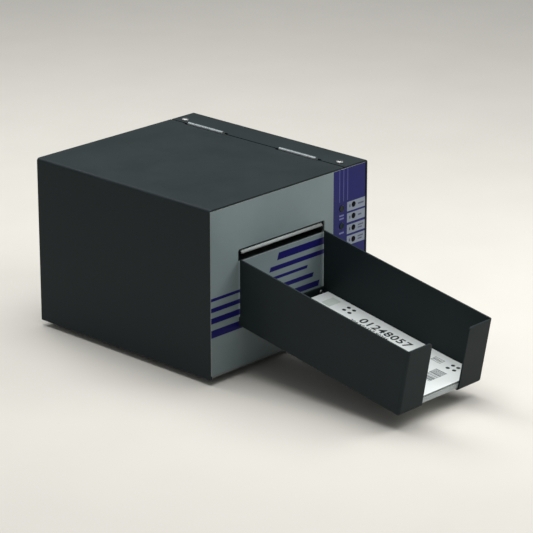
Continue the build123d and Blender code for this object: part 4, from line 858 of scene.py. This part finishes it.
ticket_width, ticket_length, ticket_gauge = 82.5, 139.6, 0.22
ticket_middle, ticket_low = -74.66, 5.26
ticket = bmesh.new()
bmesh.ops.create_grid(ticket, x_segments=1, y_segments=48, size=0.5)
bmesh.ops.scale(ticket, vec=(ticket_width, ticket_length, 1), verts=ticket.verts)
bmesh.ops.translate(ticket, vec=(0, ticket_middle, ticket_low), verts=ticket.verts)
bmesh.ops.solidify(ticket, geom=ticket.faces, thickness=-ticket_gauge)
bmesh.ops.recalc_face_normals(ticket, faces=ticket.faces)
mark_edges(ticket)
for vert in ticket.verts:
    curl(vert.co)
bmesh.ops.transform(ticket, matrix=on_tray, verts=ticket.verts)
as_piece(ticket, "curled_ticket", [card_white, card_edge], "tickets", ["top_ticket"])

thermal_ink = card("thermal_ink", tone(26, 32, 34), tone(38, 44, 47))
pale_ink = card("pale_ink", tone(176, 186, 180), tone(196, 205, 199))
grey_ink = card("grey_ink", tone(96, 103, 104), tone(118, 125, 126))
ink_low, ink_high = 5.49, 5.505
ink_middle, ink_depth = (ink_low + ink_high) / 2, ink_high - ink_low
black_ink, light_ink, soft_ink = range(3)
ink = bmesh.new()


def ink_bar(left, right, low, high, material=black_ink):
    """Prints a bar on the flat ticket, cut across where it is long, so that it can follow the curl."""
    made = slab(ink, (left, low, ink_low), (right, high, ink_high), 0, 1, material)
    edges = {edge for vert in made for edge in vert.link_edges}
    edges = [edge for edge in edges if abs(edge.verts[0].co.y - edge.verts[1].co.y) > 2]
    if edges:
        bmesh.ops.subdivide_edges(ink, edges=edges, cuts=4, use_grid_fill=True)


def ink_frame(left, right, low, high):
    """Prints the four sides of a box as narrow bars."""
    rule = 0.4
    for side in (left, right - rule):
        ink_bar(side, side + rule, low, high)
    for side in (low, high - rule):
        ink_bar(left, right, side, side + rule)


dot_radius = 1.5
for u, v in (
    (35.7, -29.9), (30.5, -30.1), (35.7, -34.8), (30.3, -35.3),
    (34.1, -127.2), (28.4, -127.2), (34.2, -131.7), (29.0, -132.4),
):
    made = bmesh.ops.create_cone(
        ink, cap_ends=True, segments=20, radius1=dot_radius, radius2=dot_radius, depth=ink_depth
    )["verts"]
    bmesh.ops.translate(ink, vec=(u, v, ink_middle), verts=made)
ink_bar(25.0, 37.5, -21.0, -13.0, light_ink)
ink_bar(-36.0, -14.0, -26.0, -13.0, light_ink)
ink_frame(-37.0, 12.8, -106.0, -28.0)
row_pitch, row_height = 2.4, 0.9
for step in range(9):
    low = -103.0 + step * row_pitch
    ink_bar(-34.0, 9.0 - step % 3 * 7.0, low, low + row_height, soft_ink)
ink_frame(28.7, 34.4, -119.8, -111.6)
rung_pitch, rung_height = 1.3, 0.6
for step in range(5):
    low = -118.4 + step * rung_pitch
    ink_bar(30.2, 33.0, low, low + rung_height)
stripe_pitch = 1.32
for step in range(14):
    left = 3.0 + step * stripe_pitch
    ink_bar(left, left + chance.choice((0.5, 0.8, 1.1)), -132.8, -123.2, soft_ink)
size_per_height, digit_spacing = 1.42, 1.12
for text, height, bold, u, v in (
    ("01248057", 7.2, 0.22, 26.6, -46.6),
    ("204 681357 90246", 2.9, 0.1, 22.3, -42.2),
    ("604280 317 52910", 2.9, 0.1, 17.8, -42.2),
    ("35", 15.0, 0.4, -13.0, -46.0),
    ("7042 6195 380", 3.2, 0.1, -22.0, -30.0),
    ("4 18 26 09 57", 3.2, 0.1, -28.0, -30.0),
    ("12 : 30", 5.0, 0.12, 5.4, -45.0),
):
    writing = bpy.data.curves.new("digits", "FONT")
    writing.body, writing.size, writing.extrude = text, height * size_per_height, ink_depth / 2
    writing.space_character, writing.offset = digit_spacing, bold
    flat = frozen(added("digits", writing))
    join_mesh(ink, flat, Matrix.Translation((u, v, ink_middle)) @ Matrix.Rotation(-math.pi / 2, 4, "Z"))
for vert in ink.verts:
    curl(vert.co)
bmesh.ops.transform(ink, matrix=on_tray, verts=ink.verts)
as_piece(ink, "ticket_print", [thermal_ink, pale_ink, grey_ink], "tickets")


# Studio: a plain pale floor under a pale sky, a near lamp at the right front, a wide one overhead and
# a faint one behind. The camera stands to the left of the front and a little above, as for the photo.
floor_pale = grained("floor_pale", tone(208, 205, 197), tone(214, 211, 203), 900, 60, 0.01, (0.8, 0.9))
floor = bmesh.new()
bmesh.ops.create_grid(floor, x_segments=2, y_segments=2, size=6.0)
studio_floor = added("studio_floor", meshed(floor, "studio_floor"))
studio_floor.data.materials.append(floor_pale)

world = bpy.data.worlds.new("studio")
bpy.context.scene.world = world
world.use_nodes = True
sky = world.node_tree.nodes["Background"].inputs
sky["Color"].default_value, sky["Strength"].default_value = (0.97, 0.98, 1.0, 1), 0.25
for name, place, aim, size, power in (
    ("key", (0.38, -0.42, 0.5), (0.03, -0.08, 0.09), 0.35, 1.95),
    ("overhead", (0.05, -0.1, 1.4), (0, -0.05, 0.1), 1.0, 15.8),
    ("back", (0.0, 0.5, 0.8), (0, 0.02, 0.12), 0.5, 3.0),
):
    lamp = bpy.data.lights.new(name, "AREA")
    lamp.size, lamp.energy = size, power
    beam = (Vector(aim) - Vector(place)).to_track_quat("-Z", "Y").to_matrix().to_4x4()
    added(name, lamp).matrix_world = Matrix.Translation(place) @ beam

lens = bpy.data.cameras.new("camera")
lens.lens, lens.sensor_width = 180.4, 36.0
camera = added("camera", lens)
# Its axes and its place in metres were solved from the edges of the case.
camera.matrix_world = Matrix((
    (0.68809, 0.24354, -0.68354, -1.27606),
    (-0.72563, 0.23094, -0.64818, -1.27276),
    (0.0, 0.94201, 0.33562, 0.68704),
    (0, 0, 0, 1),
))
bpy.context.scene.camera = camera
bpy.context.scene.view_settings.view_transform = "Standard"
